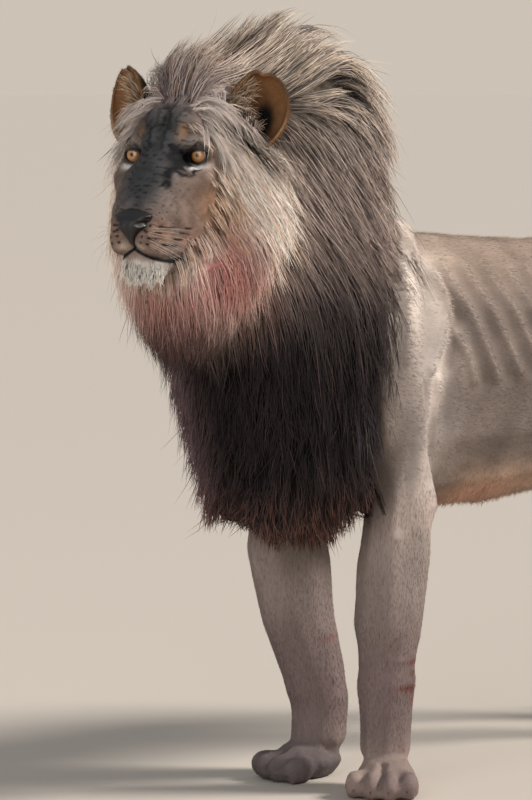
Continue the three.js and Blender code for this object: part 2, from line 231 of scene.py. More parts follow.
def normals_of(mesh: Mesh) -> Array:
    """The mesh's vertex normals, one to a row."""
    return fetched(mesh.vertex_normals, "vector").astype(float)


def edges_of(mesh: Mesh) -> Array:
    """The mesh's edges as pairs of vertex numbers."""
    return fetched(mesh.edges, "vertices", 2, np.int32)


def triangles_of(mesh: Mesh) -> Array:
    """The mesh's triangles as triples of vertex numbers."""
    mesh.calc_loop_triangles()
    return fetched(mesh.loop_triangles, "vertices", 3, np.int32)


def nearest(tree: BVHTree, points: Array) -> tuple[Array, ...]:
    """The spots on a tree nearest to the points: their places, normals, face numbers and distances."""
    return tuple(np.array(column) for column in zip(*(tree.find_nearest(Vector(p)) for p in points)))


def tree_of(points: Array, triangles: Array) -> BVHTree:
    """A search tree over triangles."""
    return BVHTree.FromPolygons(points.tolist(), triangles.tolist(), all_triangles=True)


def relax(points: Array, edges: Array, weight: Array, rounds: int, back: float = -0.53) -> Array:
    """Smooths a mesh without shrinking its large forms.

    Args:
        points: Vertices, one to a row.
        edges: Pairs of vertex numbers.
        weight: How much of each move a vertex makes.
        rounds: How many times it is done.
        back: The outward half of each round; 0 lets the mesh shrink.

    Returns:
        The moved vertices.
    """
    a, b = edges.T
    count = len(points)
    near = np.maximum(np.bincount(a, minlength=count) + np.bincount(b, minlength=count), 1)
    moved = points.copy()
    for _ in range(rounds):
        for pull in (0.5, back) if back else (0.5,):
            sums = [np.bincount(a, moved[b, k], count) + np.bincount(b, moved[a, k], count) for k in range(3)]
            middle = np.stack(sums, 1)
            moved += (middle / near[:, None] - moved) * (pull * weight)[:, None]
    return moved


def mesh_piece(name: str, points: Array, triangles: Array) -> Object:
    """A new object from arrays of vertices and triangles.

    Args:
        name: The name of the object and its mesh.
        points: The vertices, one to a row.
        triangles: Triples of vertex numbers.

    Returns:
        The new object.
    """
    mesh = bpy.data.meshes.new(name)
    mesh.vertices.add(len(points))
    mesh.vertices.foreach_set("co", points.astype(np.float32).ravel())
    mesh.loops.add(triangles.size)
    mesh.loops.foreach_set("vertex_index", triangles.astype(np.int32).ravel())
    mesh.polygons.add(len(triangles))
    mesh.polygons.foreach_set("loop_start", np.arange(0, triangles.size, 3, dtype=np.int32))
    mesh.polygons.foreach_set("use_smooth", np.full(len(triangles), True))
    mesh.update(calc_edges=True)
    thing = bpy.data.objects.new(name, mesh)
    show(thing)
    return thing


def settle(mesh: Mesh) -> None:
    """Puts a bare mesh's vertices and faces in an order that is the same on every run, and smooths it.

    Args:
        mesh: The mesh, which keeps its shape and loses its maps.
    """
    points = points_of(mesh)
    order = np.argsort(points @ SLANT)
    rank = np.argsort(order)
    rings = [[int(rank[vertex]) for vertex in face.vertices] for face in mesh.polygons]
    starts = [ring.index(min(ring)) for ring in rings]
    faces = sorted(ring[start:] + ring[:start] for ring, start in zip(rings, starts))
    mesh.clear_geometry()
    mesh.from_pydata(points[order].tolist(), [], faces)
    mesh.shade_smooth()


def sphere(name: str, segments: int, rings: int) -> Object:
    """A smooth sphere of radius one about the origin, to be shaped."""
    deselect()
    bpy.ops.mesh.primitive_uv_sphere_add(segments=segments, ring_count=rings, radius=1.0)
    thing = bpy.context.active_object
    thing.name = thing.data.name = name
    settle(thing.data)
    return thing


def paint(mesh: Mesh, colours: Array) -> None:
    """Stores a display colour for each vertex under the coat's name."""
    flat = np.ones((len(mesh.vertices), 4), np.float32)
    flat[:, :3] = linear(colours)
    layer = mesh.attributes.new(TINT, "FLOAT_COLOR", "POINT")
    layer.data.foreach_set("color", flat.ravel())


def store_map(mesh: Mesh, places: Array) -> None:
    """Gives the mesh its coat's map, with a place for each corner."""
    mesh.uv_layers.new(name=BAKE_MAP).uv.foreach_set("vector", places.astype(np.float32).ravel())


def store_vector(mesh: Mesh, name: str, vectors: Array) -> None:
    """Stores a vector for each vertex."""
    layer = mesh.attributes.new(name, "FLOAT_VECTOR", "POINT")
    layer.data.foreach_set("vector", vectors.astype(np.float32).ravel())


def keep(thing: Object, material: Material | None = None) -> None:
    """Gives a finished piece its material and body.

    Args:
        thing: The finished piece.
        material: Its finish, unless it has one.
    """
    if material:
        thing.data.materials.clear()
        thing.data.materials.append(material)
    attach(thing, "root")
    LOG.info("%s: %d faces", thing.name, len(thing.data.polygons))


# ---- Frames ----


@dataclass
class Place:
    """A frame with a centre and a turn about the vertical, in which forms are given in millimetres."""

    origin: Array
    turn: float = 0.0

    @property
    def axes(self) -> Array:
        """Rows are the frame's own axes."""
        c, s = math.cos(self.turn), math.sin(self.turn)
        return np.array([[c, s, 0], [-s, c, 0], [0, 0, 1.0]])

    def inward(self, points: Array) -> Array:
        """Points in metres as places in this frame."""
        return (points - self.origin) @ self.axes.T / MM

    def outward(self, points: Array) -> Array:
        """Places in this frame as points in metres."""
        return np.asarray(points, float) * MM @ self.axes + self.origin

    def bearing(self, vectors: Array) -> Array:
        """Directions of this frame as directions of the model."""
        return np.asarray(vectors, float) @ self.axes

    def facing(self, vectors: Array) -> Array:
        """Directions of the model as directions of this frame."""
        return vectors @ self.axes.T


def middle_of(node: str) -> Array:
    """The middle of a node's box."""
    low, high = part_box(node)
    return (np.array(low) + np.array(high)) / 2


def body_place() -> Place:
    """The body's frame: on the floor, on the mid-plane, under the shoulders."""
    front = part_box("loin")[0].y
    return Place(np.array([middle_of("rump")[0], front - 150.4 * MM, 0.0]))


def head_place() -> Place:
    """The head's frame: between the eyes, x to its left and y to the back of the skull."""
    left, right = middle_of("eye_left"), middle_of("eye_right")
    across = left - right
    turn = math.atan2(across[1], across[0])
    place = Place((left + right) / 2, turn)
    place.origin = place.outward(np.array([0.0, 12.0, 0.0]))
    return place


BODY = body_place()
HEAD = head_place()


def placed(points: Array) -> tuple[Array, Array]:
    """Points in metres as places in the body's frame and in the head's."""
    return BODY.inward(points), HEAD.inward(points)


EYE_OUT = float(np.linalg.norm(middle_of("eye_left") - middle_of("eye_right"))) / 2 / MM


def flips(twin: bool) -> list[Array]:
    """Factors that place a form and, if it has one, its twin on the other side."""
    return [np.array([side, 1.0, 1.0]) for side in ((1, -1) if twin else (1,))]


@dataclass(frozen=True)
class Swell:
    """A soft rise or hollow: where it is, how wide it is each way, and which way it pushes, in mm."""

    at: Triple
    size: Triple
    push: Triple
    twin: bool = True

    def moves(self, places: Array) -> Array:
        """How far each place moves.

        Args:
            places: Places in the frame that the form is given in, in mm.

        Returns:
            Moves in mm.
        """
        total = np.zeros_like(places)
        for flip in flips(self.twin):
            gap = (places - self.at * flip) / self.size
            total += np.exp(-np.sum(gap * gap, 1))[:, None] * (self.push * flip)
        return total


@dataclass(frozen=True)
class Ridge:
    """A rise or crease along a bent line, in mm, pushed along the surface's normal."""

    line: tuple[Triple, ...]
    width: float
    height: float
    twin: bool = True
    weigh: Triple = (1.0, 1.0, 1.0)  # how much a gap counts each way

    def reach(self, places: Array) -> Array:
        """How near each place is to the line, from 0 to 1.

        Args:
            places: Places in the frame that the line is given in, in mm.

        Returns:
            A value for each place.
        """
        best, own = np.zeros(len(places)), places * self.weigh
        for flip in flips(self.twin):
            bent = np.array(self.line) * self.weigh * flip
            for a, b in zip(bent, bent[1:]):
                t = np.clip((own - a) @ (b - a) / max((b - a) @ (b - a), 1e-9), 0, 1)
                gap = np.linalg.norm(own - (a + t[:, None] * (b - a)), axis=1)
                best = np.maximum(best, np.exp(-((gap / self.width) ** 2)))
        return best


# ---- The skin ----


def pairs(*parts: str) -> list[str]:
    """The left and right node of each part."""
    return [f"{part}_{side}" for part in parts for side in ("left", "right")]


FLESH = ["lower_jaw", "head", "neck", "chest", "loin", "rump", "tail"]
FLESH += pairs("shoulder", "forearm", "fore_paw", "thigh", "shank", "hock", "hind_paw")
UNDER_MANE = ["head", "lower_jaw", "neck", "chest", *pairs("shoulder"), "loin"]
MANE_NODES = ["mane_crown", *pairs("mane_ruff"), "mane_beard", *pairs("mane_neck", "mane_chest"), "mane_fringe"]


def union_of(name: str, nodes: Sequence[str], voxel: float) -> Object:
    """Copies of the nodes as one closed skin.

    Args:
        name: The new object's name.
        nodes: The nodes to join.
        voxel: Size of the new mesh's faces, in metres.

    Returns:
        The joined and remeshed object.
    """
    deselect()
    copies = []
    for node in nodes:
        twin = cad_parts[node].copy()
        twin.data = twin.data.copy()
        twin.parent = None
        for key in list(twin.keys()):
            del twin[key]
        show(twin)
        twin.hide_render = twin.hide_viewport = False
        twin.hide_set(False)
        twin.select_set(True)
        copies.append(twin)
    bpy.context.view_layer.objects.active = copies[0]
    bpy.ops.object.join()
    whole = copies[0]
    whole.name = whole.data.name = name
    with editing():
        bpy.ops.mesh.remove_doubles(threshold=2e-5)
    whole.data.materials.clear()
    apply_modifier(whole, "REMESH", mode="VOXEL", voxel_size=voxel, use_smooth_shade=True)
    return whole


def split_faces(thing: Object, inside: Callable[[Array], Array]) -> None:
    """Cuts each face in four where its middle lies inside a region.

    Args:
        thing: The mesh object.
        inside: Tells for each point whether it lies in the region.
    """
    mesh = thing.data
    chosen = inside(fetched(mesh.polygons, "center").astype(float))
    choose(thing)
    with editing("DESELECT"):
        bpy.ops.mesh.select_mode(type="FACE")
    mesh.polygons.foreach_set("select", chosen)
    with editing(None):
        bpy.ops.mesh.subdivide(number_cuts=1)
        bpy.ops.mesh.select_all(action="DESELECT")


@dataclass
class Hide:
    """The one skin of the animal, from its nose to its tail, and what is known about it."""

    muscles: tuple[Swell, ...]
    ridges: tuple[Ridge, ...]
    features: tuple[Swell, ...]
    folds: tuple[Ridge, ...]
    voxel: float = 9.6 * MM
    coat_depth: float = 7.0
    thin_depth: float = 2.5  # on the face and feet
    leg_depth: float = 1.0  # smoothing has already drawn the thin legs in
    piece: Object = field(init=False)

    def build(self) -> Object:
        """Makes the skin inside the flesh nodes."""
        self.piece = union_of("hide", FLESH, self.voxel)
        mesh = self.piece.data
        points, edges = points_of(mesh), edges_of(mesh)
        points = relax(points, edges, self.softness(points), 46)
        set_points(mesh, points)
        points -= normals_of(mesh) * self.depth(points)[:, None]
        set_points(mesh, points)
        split_faces(self.piece, lambda spots: self.in_face(spots) | self.in_toes(spots) | self.in_ribs(spots))
        split_faces(self.piece, self.in_features)
        points, edges = points_of(mesh), edges_of(mesh)
        points = relax(points, edges, self.in_face(points).astype(float), 3, 0)
        self.shape_body(points)
        self.shape_paws(points)
        self.shape_head(points)
        set_points(mesh, relax(points, edges, np.full(len(points), 0.5), 2, 0))
        self.set_eyes()
        return self.piece

    def softness(self, points: Array) -> Array:
        """How far the facets under each point are smoothed out."""
        body, head = placed(points)
        return 1 - 0.8 * np.maximum(ease(body[:, 2], 120, 60), 0.55 * ease(head[:, 1], 40, -20))

    def depth(self, points: Array) -> Array:
        """How deep the skin lies under the coat's tips, in metres."""
        body, head = placed(points)
        _, y, z = body.T
        thin = np.maximum(ease(z, 260, 60), ease(head[:, 1], 60, 0))
        deep = mixed(np.full(len(points), self.coat_depth), self.thin_depth, thin)
        return mixed(deep, self.leg_depth, ease(z, 540, 400) * ease(z, 90, 170) * ease(y, 400, 300)) * MM

    def in_face(self, points: Array) -> Array:
        """Whether each point is on the face."""
        x, y, z = HEAD.inward(points).T
        return (y < 50) & (z > -250) & (z < 130) & (np.abs(x) < 130)

    def in_features(self, points: Array) -> Array:
        """Whether each point is by the eyes, nose or mouth."""
        x, y, z = HEAD.inward(points).T
        eyes = (np.abs(np.abs(x) - 62) < 42) & (np.abs(z) < 34) & (y < 10)
        return eyes | ((y < -78) & (z < -60)) | ((z < -150) & (z > -200) & (y < -20))

    def shape_body(self, points: Array) -> None:
        """Raises the bones and muscles that show under the coat."""
        places = BODY.inward(points)
        moved = sum((s.moves(places) for s in self.muscles), np.zeros_like(places))
        set_points(self.piece.data, points + moved * MM)
        normals = normals_of(self.piece.data)
        for ridge in self.ridges:
            moved += normals * (ridge.reach(places) * ridge.height)[:, None]
        points += moved * MM + normals * relief(points)[:, None] * MM

    def in_ribs(self, points: Array) -> Array:
        """Whether each point is where the ribs and the shoulder blade show."""
        x, y, z = BODY.inward(points).T
        return (np.abs(x) > 95) & (y > -60) & (y < 420) & (z > 770) & (z < 1080)

    def in_toes(self, points: Array) -> Array:
        """Whether each point is on the front of a paw."""
        return (points[:, 2] < 0.085) & (BODY.inward(points)[:, 1] < 1000)

    def shape_paws(self, points: Array) -> None:
        """Parts the toes and rounds each one.

        Args:
            points: The skin's vertices, which are moved.
        """
        for paw in PAWS:
            places = paw.place.inward(points)
            near = (np.abs(places) < (paw.half + 30, paw.long, 110)).all(1)
            own = places[near]
            moved = np.zeros_like(own)
            for x, y, z in paw.toes():
                moved += Swell((x, y - 12, z + 8), (15, 30, 16), (0, -6, 6), False).moves(own)
            for x in (-paw.half * 0.5, 0.0, paw.half * 0.5):
                line = ((x, -paw.long * 0.26, 66), (x * 1.03, -paw.long * 0.5, 40), (x * 1.05, -paw.long * 0.66, 6))
                moved += Ridge(line, 6.5, 1, False).reach(own)[:, None] * np.array([0.0, 12.0, -9.0])
            places[near] = own + moved
            points[near] = paw.place.outward(places[near])
        points[:, 2] = np.maximum(points[:, 2], SOLE)

    def shape_head(self, points: Array) -> None:
        """Shapes the muzzle, brows, cheeks and folds."""
        places = HEAD.inward(points)
        moved = sum((s.moves(places) for s in self.features), np.zeros_like(places))
        normals = HEAD.facing(normals_of(self.piece.data))
        for ridge in self.folds:
            moved += normals * (ridge.reach(places) * ridge.height)[:, None]
        points += HEAD.bearing(moved) * MM

    def set_eyes(self) -> None:
        """Sets back the opening of each eye and brings the lids round the eyeball."""
        mesh = self.piece.data
        points = points_of(mesh)
        places = HEAD.inward(points)
        for side in (1, -1):
            u, v = eye_plane(places, side)
            near = (np.hypot(u, v) < 44) & (places[:, 1] < 50)
            u, v, base = u[near], v[near], places[near, 1]
            opening = eye_opening(u, v)
            ball = EYE_DEEP - np.sqrt(np.maximum(EYE_R**2 - u * u - v * v, 0))
            lid = EYE_DEEP - np.sqrt(np.maximum((EYE_R + 3.4) ** 2 - u * u - v * v, 0))
            soft = 3.0
            over = -soft * np.logaddexp(-lid / soft, -base / soft)
            over = mixed(over, base, ease(np.hypot(u, v), 26, 40))
            places[near, 1] = mixed(over, ball + 9, ease(opening, 1.03, 0.86))
        set_points(mesh, HEAD.outward(places))


SOLE = 0.5 * MM  # the paws' own gap to the floor
EYE_R = 22.0
EYE_DEEP = 19.0  # how far behind the head's own middle the eyeballs' middles lie
EYE_HALF = (19.5, 15.2)  # half the opening between the lids, across and up
EYE_SLANT = 0.2


def eye_plane(places: Array, side: int) -> tuple[Array, Array]:
    """Outward and upward distances from an eye's middle, turned to the slant of its lids."""
    out = places[:, 0] * side - EYE_OUT
    up = places[:, 2]
    c, s = math.cos(EYE_SLANT), math.sin(EYE_SLANT)
    return out * c + up * s, up * c - out * s


def eye_opening(u: Array, v: Array) -> Array:
    """Below 1 between the lids, and 1 on their rims; the inner corner is drawn out."""
    reach = np.where(u < 0, EYE_HALF[0] * 1.12, EYE_HALF[0])
    half = EYE_HALF[1] * np.where(v > 0, 0.62, 1.0)
    return (np.abs(u / reach) ** 1.9 + np.abs(v / half) ** 1.9) ** (1 / 1.9)


def relief(points: Array) -> Array:
    """The height of the loose skin's folds over the bones, in mm."""
    x, y, z = BODY.inward(points).T
    own = np.stack([0.3 * x, y, 0.42 * z], 1) * MM
    loose = ease(np.abs(x), 60, 100) * ease(y, 190, 110) * ease(y, -110, -60) * ease(z, 420, 540)
    slack = ease(y, 110, 190) * ease(z, 500, 620) * ease(y, 1050, 900)
    return (4.4 * loose + 0.9 * slack) * ripple(own, 0.03, 71) + 0.6 * (loose + slack) * ripple(points, 0.018, 73)


def lit_by_relief(points: Array, out: Array) -> Array:
    """Normals turned as the folds turn them.

    Args:
        points: Places on the skin.
        out: Its normals there.

    Returns:
        The turned normals.
    """
    first = unit(np.cross(out, UP + 0.01))
    second = np.cross(out, first)
    here, made = relief(points), out.copy()
    for way in (first, second):
        made = made - way * ((relief(points + way * 3 * MM) - here) / 3)[:, None]
    return unit(made)


MUSCLES = (
    Swell((150, 60, 800), (60, 80, 130), (12, 0, 0)),  # triceps
    Swell((130, -30, 780), (60, 60, 90), (6, -8, 0)),  # point of the shoulder
    Swell((120, 40, 1075), (44, 60, 34), (4, 0, 9)),  # top of the shoulder blade
    Swell((0, 1020, 1045), (110, 60, 50), (0, -12, -20), False),  # slope of the rump
    Swell((0, 40, 1100), (40, 70, 30), (0, 0, -8), False),  # dip between the blades
    Swell((170, 170, 1020), (60, 60, 70), (-12, 0, 0)),  # hollow behind the blade
    Swell((150, 62, 560), (24, 22, 30), (2, 16, -2)),  # point of the elbow
    Swell((130, 20, 480), (40, 40, 70), (8, 0, 0)),  # outer forearm
    Swell((60, -30, 470), (40, 40, 80), (-6, -4, 0)),  # inner forearm
    Swell((99, 56, 190), (26, 16, 22), (0, 10, 0)),  # pad behind the wrist
    Swell((99, -44, 190), (40, 16, 40), (0, -5, 0)),  # wrist
    Swell((150, 640, 880), (50, 70, 90), (-26, 0, 0)),  # hollow of the flank
    Swell((110, 745, 1030), (40, 46, 34), (10, 0, 12)),  # hip bone
    Swell((70, 1010, 960), (30, 36, 40), (8, 14, 0)),  # seat bone
    Swell((150, 850, 800), (60, 110, 120), (12, 0, 0)),  # thigh
    Swell((130, 740, 640), (50, 40, 60), (4, -12, 0)),  # stifle
    Swell((120, 1010, 360), (22, 20, 34), (0, 8, 4)),  # point of the hock
    Swell((0, 560, 560), (90, 200, 60), (0, 0, 10), False),  # tuck of the belly
)
SIDE = (0.2, 1.0, 1.0)
RIDGES = (
    Ridge(((112, 6, 1095), (150, -6, 980), (160, -26, 850)), 12, 8, True, SIDE),  # spine of the blade
    Ridge(((150, 4, 1085), (172, 62, 1020), (176, 112, 955), (176, 84, 890), (172, 38, 825)), 13, 12, True, SIDE),
    Ridge(((170, 70, 1075), (184, 138, 985), (186, 140, 920), (180, 100, 830)), 17, -13, True, SIDE),
    Ridge(((176, 60, 800), (160, 78, 700), (140, 84, 610)), 14, 11, True, SIDE),  # back of the triceps
    Ridge(((176, 20, 790), (160, 34, 700), (150, 40, 610)), 11, -9, True, SIDE),
    Ridge(((150, -16, 700), (150, -20, 600), (132, -30, 520)), 11, -10, True, SIDE),  # arm muscles part
    Ridge(((150, 44, 560), (140, 24, 450), (118, 26, 300)), 8, 6, True, SIDE),  # bone of the forearm
    Ridge(((142, 4, 540), (128, -8, 420), (116, -12, 280)), 8, -7, True, SIDE),
    Ridge(((99, 50, 420), (99, 44, 300), (99, 50, 210)), 9, 4, True, SIDE),  # tendons behind
    Ridge(((0, 150, 1110), (0, 600, 1080), (0, 900, 1080)), 13, 7, False, (1, 1, 0.3)),  # backbone
    Ridge(((36, 200, 1095), (36, 600, 1070), (34, 860, 1070)), 16, -4, True, (1, 1, 0.3)),
    Ridge(((110, 640, 980), (150, 760, 860), (150, 800, 700)), 22, -7, True, SIDE),  # front of the thigh
    Ridge(((110, 960, 900), (140, 950, 760), (120, 900, 620)), 16, -6, True, SIDE),  # hamstrings part
    Ridge(((112, 985, 520), (110, 1010, 420), (112, 1012, 370)), 9, 5, True, SIDE),  # heel tendon
    Ridge(((130, 930, 560), (128, 960, 450)), 13, -5, True, SIDE),
    Ridge(((60, 300, 535), (70, 480, 560), (90, 620, 640)), 22, 5, True, SIDE),  # fold of the belly
)


def rib(i: int, shift: Triple, width: float, height: float) -> Ridge:
    """A slanting line down the flank, the i-th from the front, moved back at its top, middle and foot.

    Args:
        i: Its number from the front.
        shift: How far back its top, middle and foot are moved, in mm.
        width: Its width.
        height: How far it stands out.

    Returns:
        The line.
    """
    line = tuple(
        (170, back + step * i, high + rise * i)
        for back, step, high, rise in zip(np.add((78, 122, 166), shift), (56, 58, 62), (1015, 915, 795), (0, 0, 7))
    )
    return Ridge(line, width, height, True, SIDE)


RIBS = tuple(rib(i, (0, 0, 0), 9, 8 - 0.6 * i) for i in range(8))
GAPS = tuple(rib(i, (28, 28, 30), 14, -7 + 0.5 * i) for i in range(8))
FEATURES = (
    Swell((66, -24, 0), (27, 44, 25), (0, 20, 0)),  # the eye lies back in its socket
    Swell((41, -34, 0), (15, 40, 19), (0, 24, 0)),  # the socket's inner wall
    Swell((62, -36, -25), (24, 50, 15), (0, 19, 0)),  # under the lower lid
    Swell((58, -28, 36), (36, 40, 20), (0, 12, 0)),  # the brow slopes back
    Swell((58, -24, 30), (30, 34, 11), (0, -5, 2)),  # brow over the eye
    Swell((40, 6, 66), (26, 40, 24), (0, -5, 3)),  # forehead
    Swell((86, -12, -42), (24, 40, 26), (6, -7, 0)),  # cheekbone
    Swell((78, -14, -100), (22, 40, 34), (-5, 2, 0)),  # hollow of the cheek
    Swell((33, -122, -150), (24, 24, 22), (0, -9, -4)),  # whisker pads
    Swell((62, -122, -152), (20, 44, 34), (-15, 0, 0)),  # the pads' outer sides
    Swell((44, -146, -112), (16, 22, 18), (0, 7, 0)),  # behind the wings of the nose
    Swell((0, -132, -150), (5, 26, 16), (0, 7, 0), False),  # parting of the lip
    Swell((0, -104, -206), (46, 34, 22), (5, 3, 9), False),  # chin
    Swell((24, -140, -92), (16, 20, 10), (0, -2, 3)),  # over the nostrils
    Swell((50, -90, -70), (12, 34, 26), (-3, 3, 0)),  # side of the nose
)
LIPS = ((0, -132, -164), (16, -130, -174), (32, -122, -181), (48, -100, -187), (58, -70, -186), (66, -40, -180))
FOLDS = (
    Ridge(LIPS, 6, -9),
    Ridge(((0, -34, 36), (0, 10, 88)), 9, -4, False),  # furrow of the forehead
    Ridge(((48, -52, -22), (66, -42, -29), (86, -24, -22)), 6, -3),  # bag under the eye
    Ridge(((44, -112, -106), (58, -84, -120), (66, -52, -150)), 9, -4),  # behind the whisker pad
    Ridge(((20, -40, 30), (32, -30, 16)), 6, -2),  # frown
)


# ---- Markings, shared by the skin and the coat ----


@dataclass(frozen=True)
class Patch:
    """A soft patch of colour: its middle and reach in mm, in the body's frame or the head's."""

    at: Triple
    size: Triple
    colour: Triple
    strength: float = 1.0
    twin: bool = True
    edge: float = 2.0

    def cover(self, places: Array) -> Array:
        """How much of each place it covers, from 0 to 1.

        Args:
            places: Places in the frame that the patch is given in, in mm.

        Returns:
            A value for each place.
        """
        best = np.zeros(len(places))
        for flip in flips(self.twin):
            gap = (places - self.at * flip) / self.size
            best = np.maximum(best, np.exp(-(np.sum(gap * gap, 1) ** (self.edge / 2))))
        return best * self.strength


@dataclass(frozen=True)
class Markings:
    """The animal's colours, as display colours, from place alone; the flank and lower legs hold painted shade, and
    the shoulder and rib crests painted highlights.
    """

    back: Triple = (0.62, 0.54, 0.48)
    # painted shade: the side's colour is darkened as the shade that falls on the flank
    side: Triple = (0.455, 0.405, 0.375)
    belly: Triple = (0.70, 0.58, 0.49)
    leg: Triple = (0.55, 0.495, 0.47)
    # painted shade: the lower legs are darkened as the shade on them
    shaded_shin: Triple = (0.47, 0.405, 0.395)
    # painted highlight on the crests of the ribs
    rib: Triple = (0.72, 0.65, 0.60)
    head: Triple = (0.48, 0.41, 0.375)
    mark: Triple = (0.055, 0.05, 0.06)
    body_patches: tuple[Patch, ...] = ()
    head_patches: tuple[Patch, ...] = ()
    stripes: tuple[Ridge, ...] = ()

    def colour(self, points: Array) -> Array:
        """The coat's colour at each point in metres."""
        body, head = placed(points)
        face = ease(head[:, 1], 150, 110)
        return np.clip(mixed(self.trunk(points, body), self.skull(points, head), face), 0.01, 0.95)

    def trunk(self, points: Array, body: Array) -> Array:
        """The colours of the body and legs.

        Args:
            points: Places in metres.
            body: The same places in the body's frame.

        Returns:
            A display colour for each place.
        """
        _, y, z = body.T
        # the side's painted shade gives way to the lighter back higher up
        tone = mixed(np.tile(self.side, (len(points), 1)), self.back, ease(z, 900, 1060))
        tone = mixed(tone, self.belly, ease(z, 660, 560) * ease(y, 120, 220) * ease(y, 900, 760))
        tone = mixed(tone, self.leg, ease(z, 620, 460))
        # the lower legs darken with painted shade
        tone = mixed(tone, self.shaded_shin, ease(z, 420, 220))
        for patch in self.body_patches:
            tone = mixed(tone, patch.colour, patch.cover(body))
        # random mottle, with painted shade in the hollows of the skin's folds and painted light on their crests
        shade = 0.05 * ripple(points, 0.05, 3) + 0.05 * ripple(points, 0.2, 4) + 0.045 * relief(points)
        tone = tone * (1 + shade)[:, None]
        # painted highlights along the rib crests
        painted_rib_highlight = sum(ridge.reach(body) for ridge in RIBS)
        return mixed(tone, self.rib, 0.36 * np.clip(painted_rib_highlight, 0, 1))

    def skull(self, points: Array, head: Array) -> Array:
        """The colours of the head.

        Args:
            points: Places in metres.
            head: The same places in the head's frame.

        Returns:
            A display colour for each place.
        """
        x, y, z = head.T
        tone = np.tile(self.head, (len(points), 1))
        for patch in self.head_patches:
            tone = mixed(tone, patch.colour, patch.cover(head))
        mottle = ripple(points, 0.016, 5) + 0.7 * ripple(points, 0.007, 6)
        flecks = ease(ripple(points, 0.003, 9), 0.45, 0.8) * ease(np.abs(x), 90, 40) * ease(z, -150, -120)
        tone = tone * (1 + 0.1 * mottle - 0.45 * flecks)[:, None]
        for k, stripe in enumerate(self.stripes):
            wobble = 5.0 if k < LIP else 0.0
            flat = head * (1, 0, 1) + wobble * np.stack([mottle, 0 * mottle, -mottle], 1)
            dark = stripe.reach(flat) * ease(y, 60, 30) * stripe.height * (0.8 if EYE_MARKS <= k < LIP else 1.25)
            tone = mixed(tone, self.mark, np.clip(dark, 0, 1))
        return tone


GREY = (0.22, 0.232, 0.242)
BODY_PATCHES = (
    # painted highlights: the shoulder and upper arm are painted paler, as light falling on them
    Patch((130, 10, 1040), (90, 120, 120), (0.83, 0.775, 0.73), 0.9),
    Patch((170, 36, 850), (80, 84, 220), (0.80, 0.745, 0.705), 0.9),
    Patch((150, 44, 660), (80, 76, 120), (0.75, 0.70, 0.67), 0.8),
    Patch((120, 260, 545), (90, 130, 32), (0.82, 0.58, 0.48), 0.9),
    Patch((152, 14, 258), (34, 26, 5), (0.36, 0.17, 0.145), 0.85, False, 3),
    Patch((152, 20, 232), (30, 20, 4.5), (0.38, 0.19, 0.16), 0.8, False, 3),
    Patch((152, 6, 206), (36, 30, 8), (0.38, 0.18, 0.155), 0.9, False, 3),
    Patch((150, 34, 180), (24, 24, 14), (0.50, 0.29, 0.26), 0.75, False, 3),
    Patch((-66, -24, 282), (24, 26, 9), (0.46, 0.26, 0.24), 0.85, False, 3),
    Patch((100, 0, 40), (90, 200, 60), (0.70, 0.62, 0.56), 0.85),
    Patch((-99, -40, 25), (90, 150, 50), (0.22, 0.21, 0.235), 0.85, False),
    Patch((112, 980, 200), (70, 80, 120), (0.60, 0.50, 0.42), 0.6),
    Patch((0, 1240, 330), (60, 160, 100), (0.16, 0.13, 0.12), 1.0, False),
    Patch((0, 900, 860), (60, 80, 100), (0.80, 0.74, 0.66), 0.5, False),
)
HEAD_PATCHES = (
    Patch((0, -40, 30), (62, 120, 110), GREY, 0.85, False, 3),
    Patch((0, -100, -50), (44, 60, 70), GREY, 0.8, False, 3),
    Patch((84, -10, -70), (34, 60, 46), (0.46, 0.375, 0.325), 0.85),
    Patch((40, -116, -140), (34, 34, 26), (0.56, 0.43, 0.36), 0.9, True, 3),
    Patch((0, -96, -206), (60, 46, 26), (0.93, 0.90, 0.87), 1.0, False, 4),
    Patch((14, -140, -166), (12, 20, 12), (0.85, 0.80, 0.75), 0.6),
    Patch((68, -6, -20), (23, 40, 8), (0.88, 0.86, 0.84), 1.0, True, 3),
    Patch((60, -10, 27), (24, 24, 9), (0.62, 0.60, 0.58), 0.6),
    Patch((65, 4, -1), (25, 30, 16), (0.06, 0.05, 0.05), 1.0, True, 6),
    Patch((44, -30, 44), (10, 60, 16), (0.52, 0.38, 0.27), 0.85),
    Patch((53, -30, -189), (11, 60, 7), (0.07, 0.06, 0.06), 1.0, True, 4),
    Patch((100, 60, 20), (30, 50, 50), (0.66, 0.55, 0.45), 0.8),
    Patch((98, 20, -100), (24, 60, 50), (0.58, 0.44, 0.34), 0.8, True, 3),
    Patch((60, -30, -150), (20, 30, 26), (0.55, 0.38, 0.31), 0.6),
)
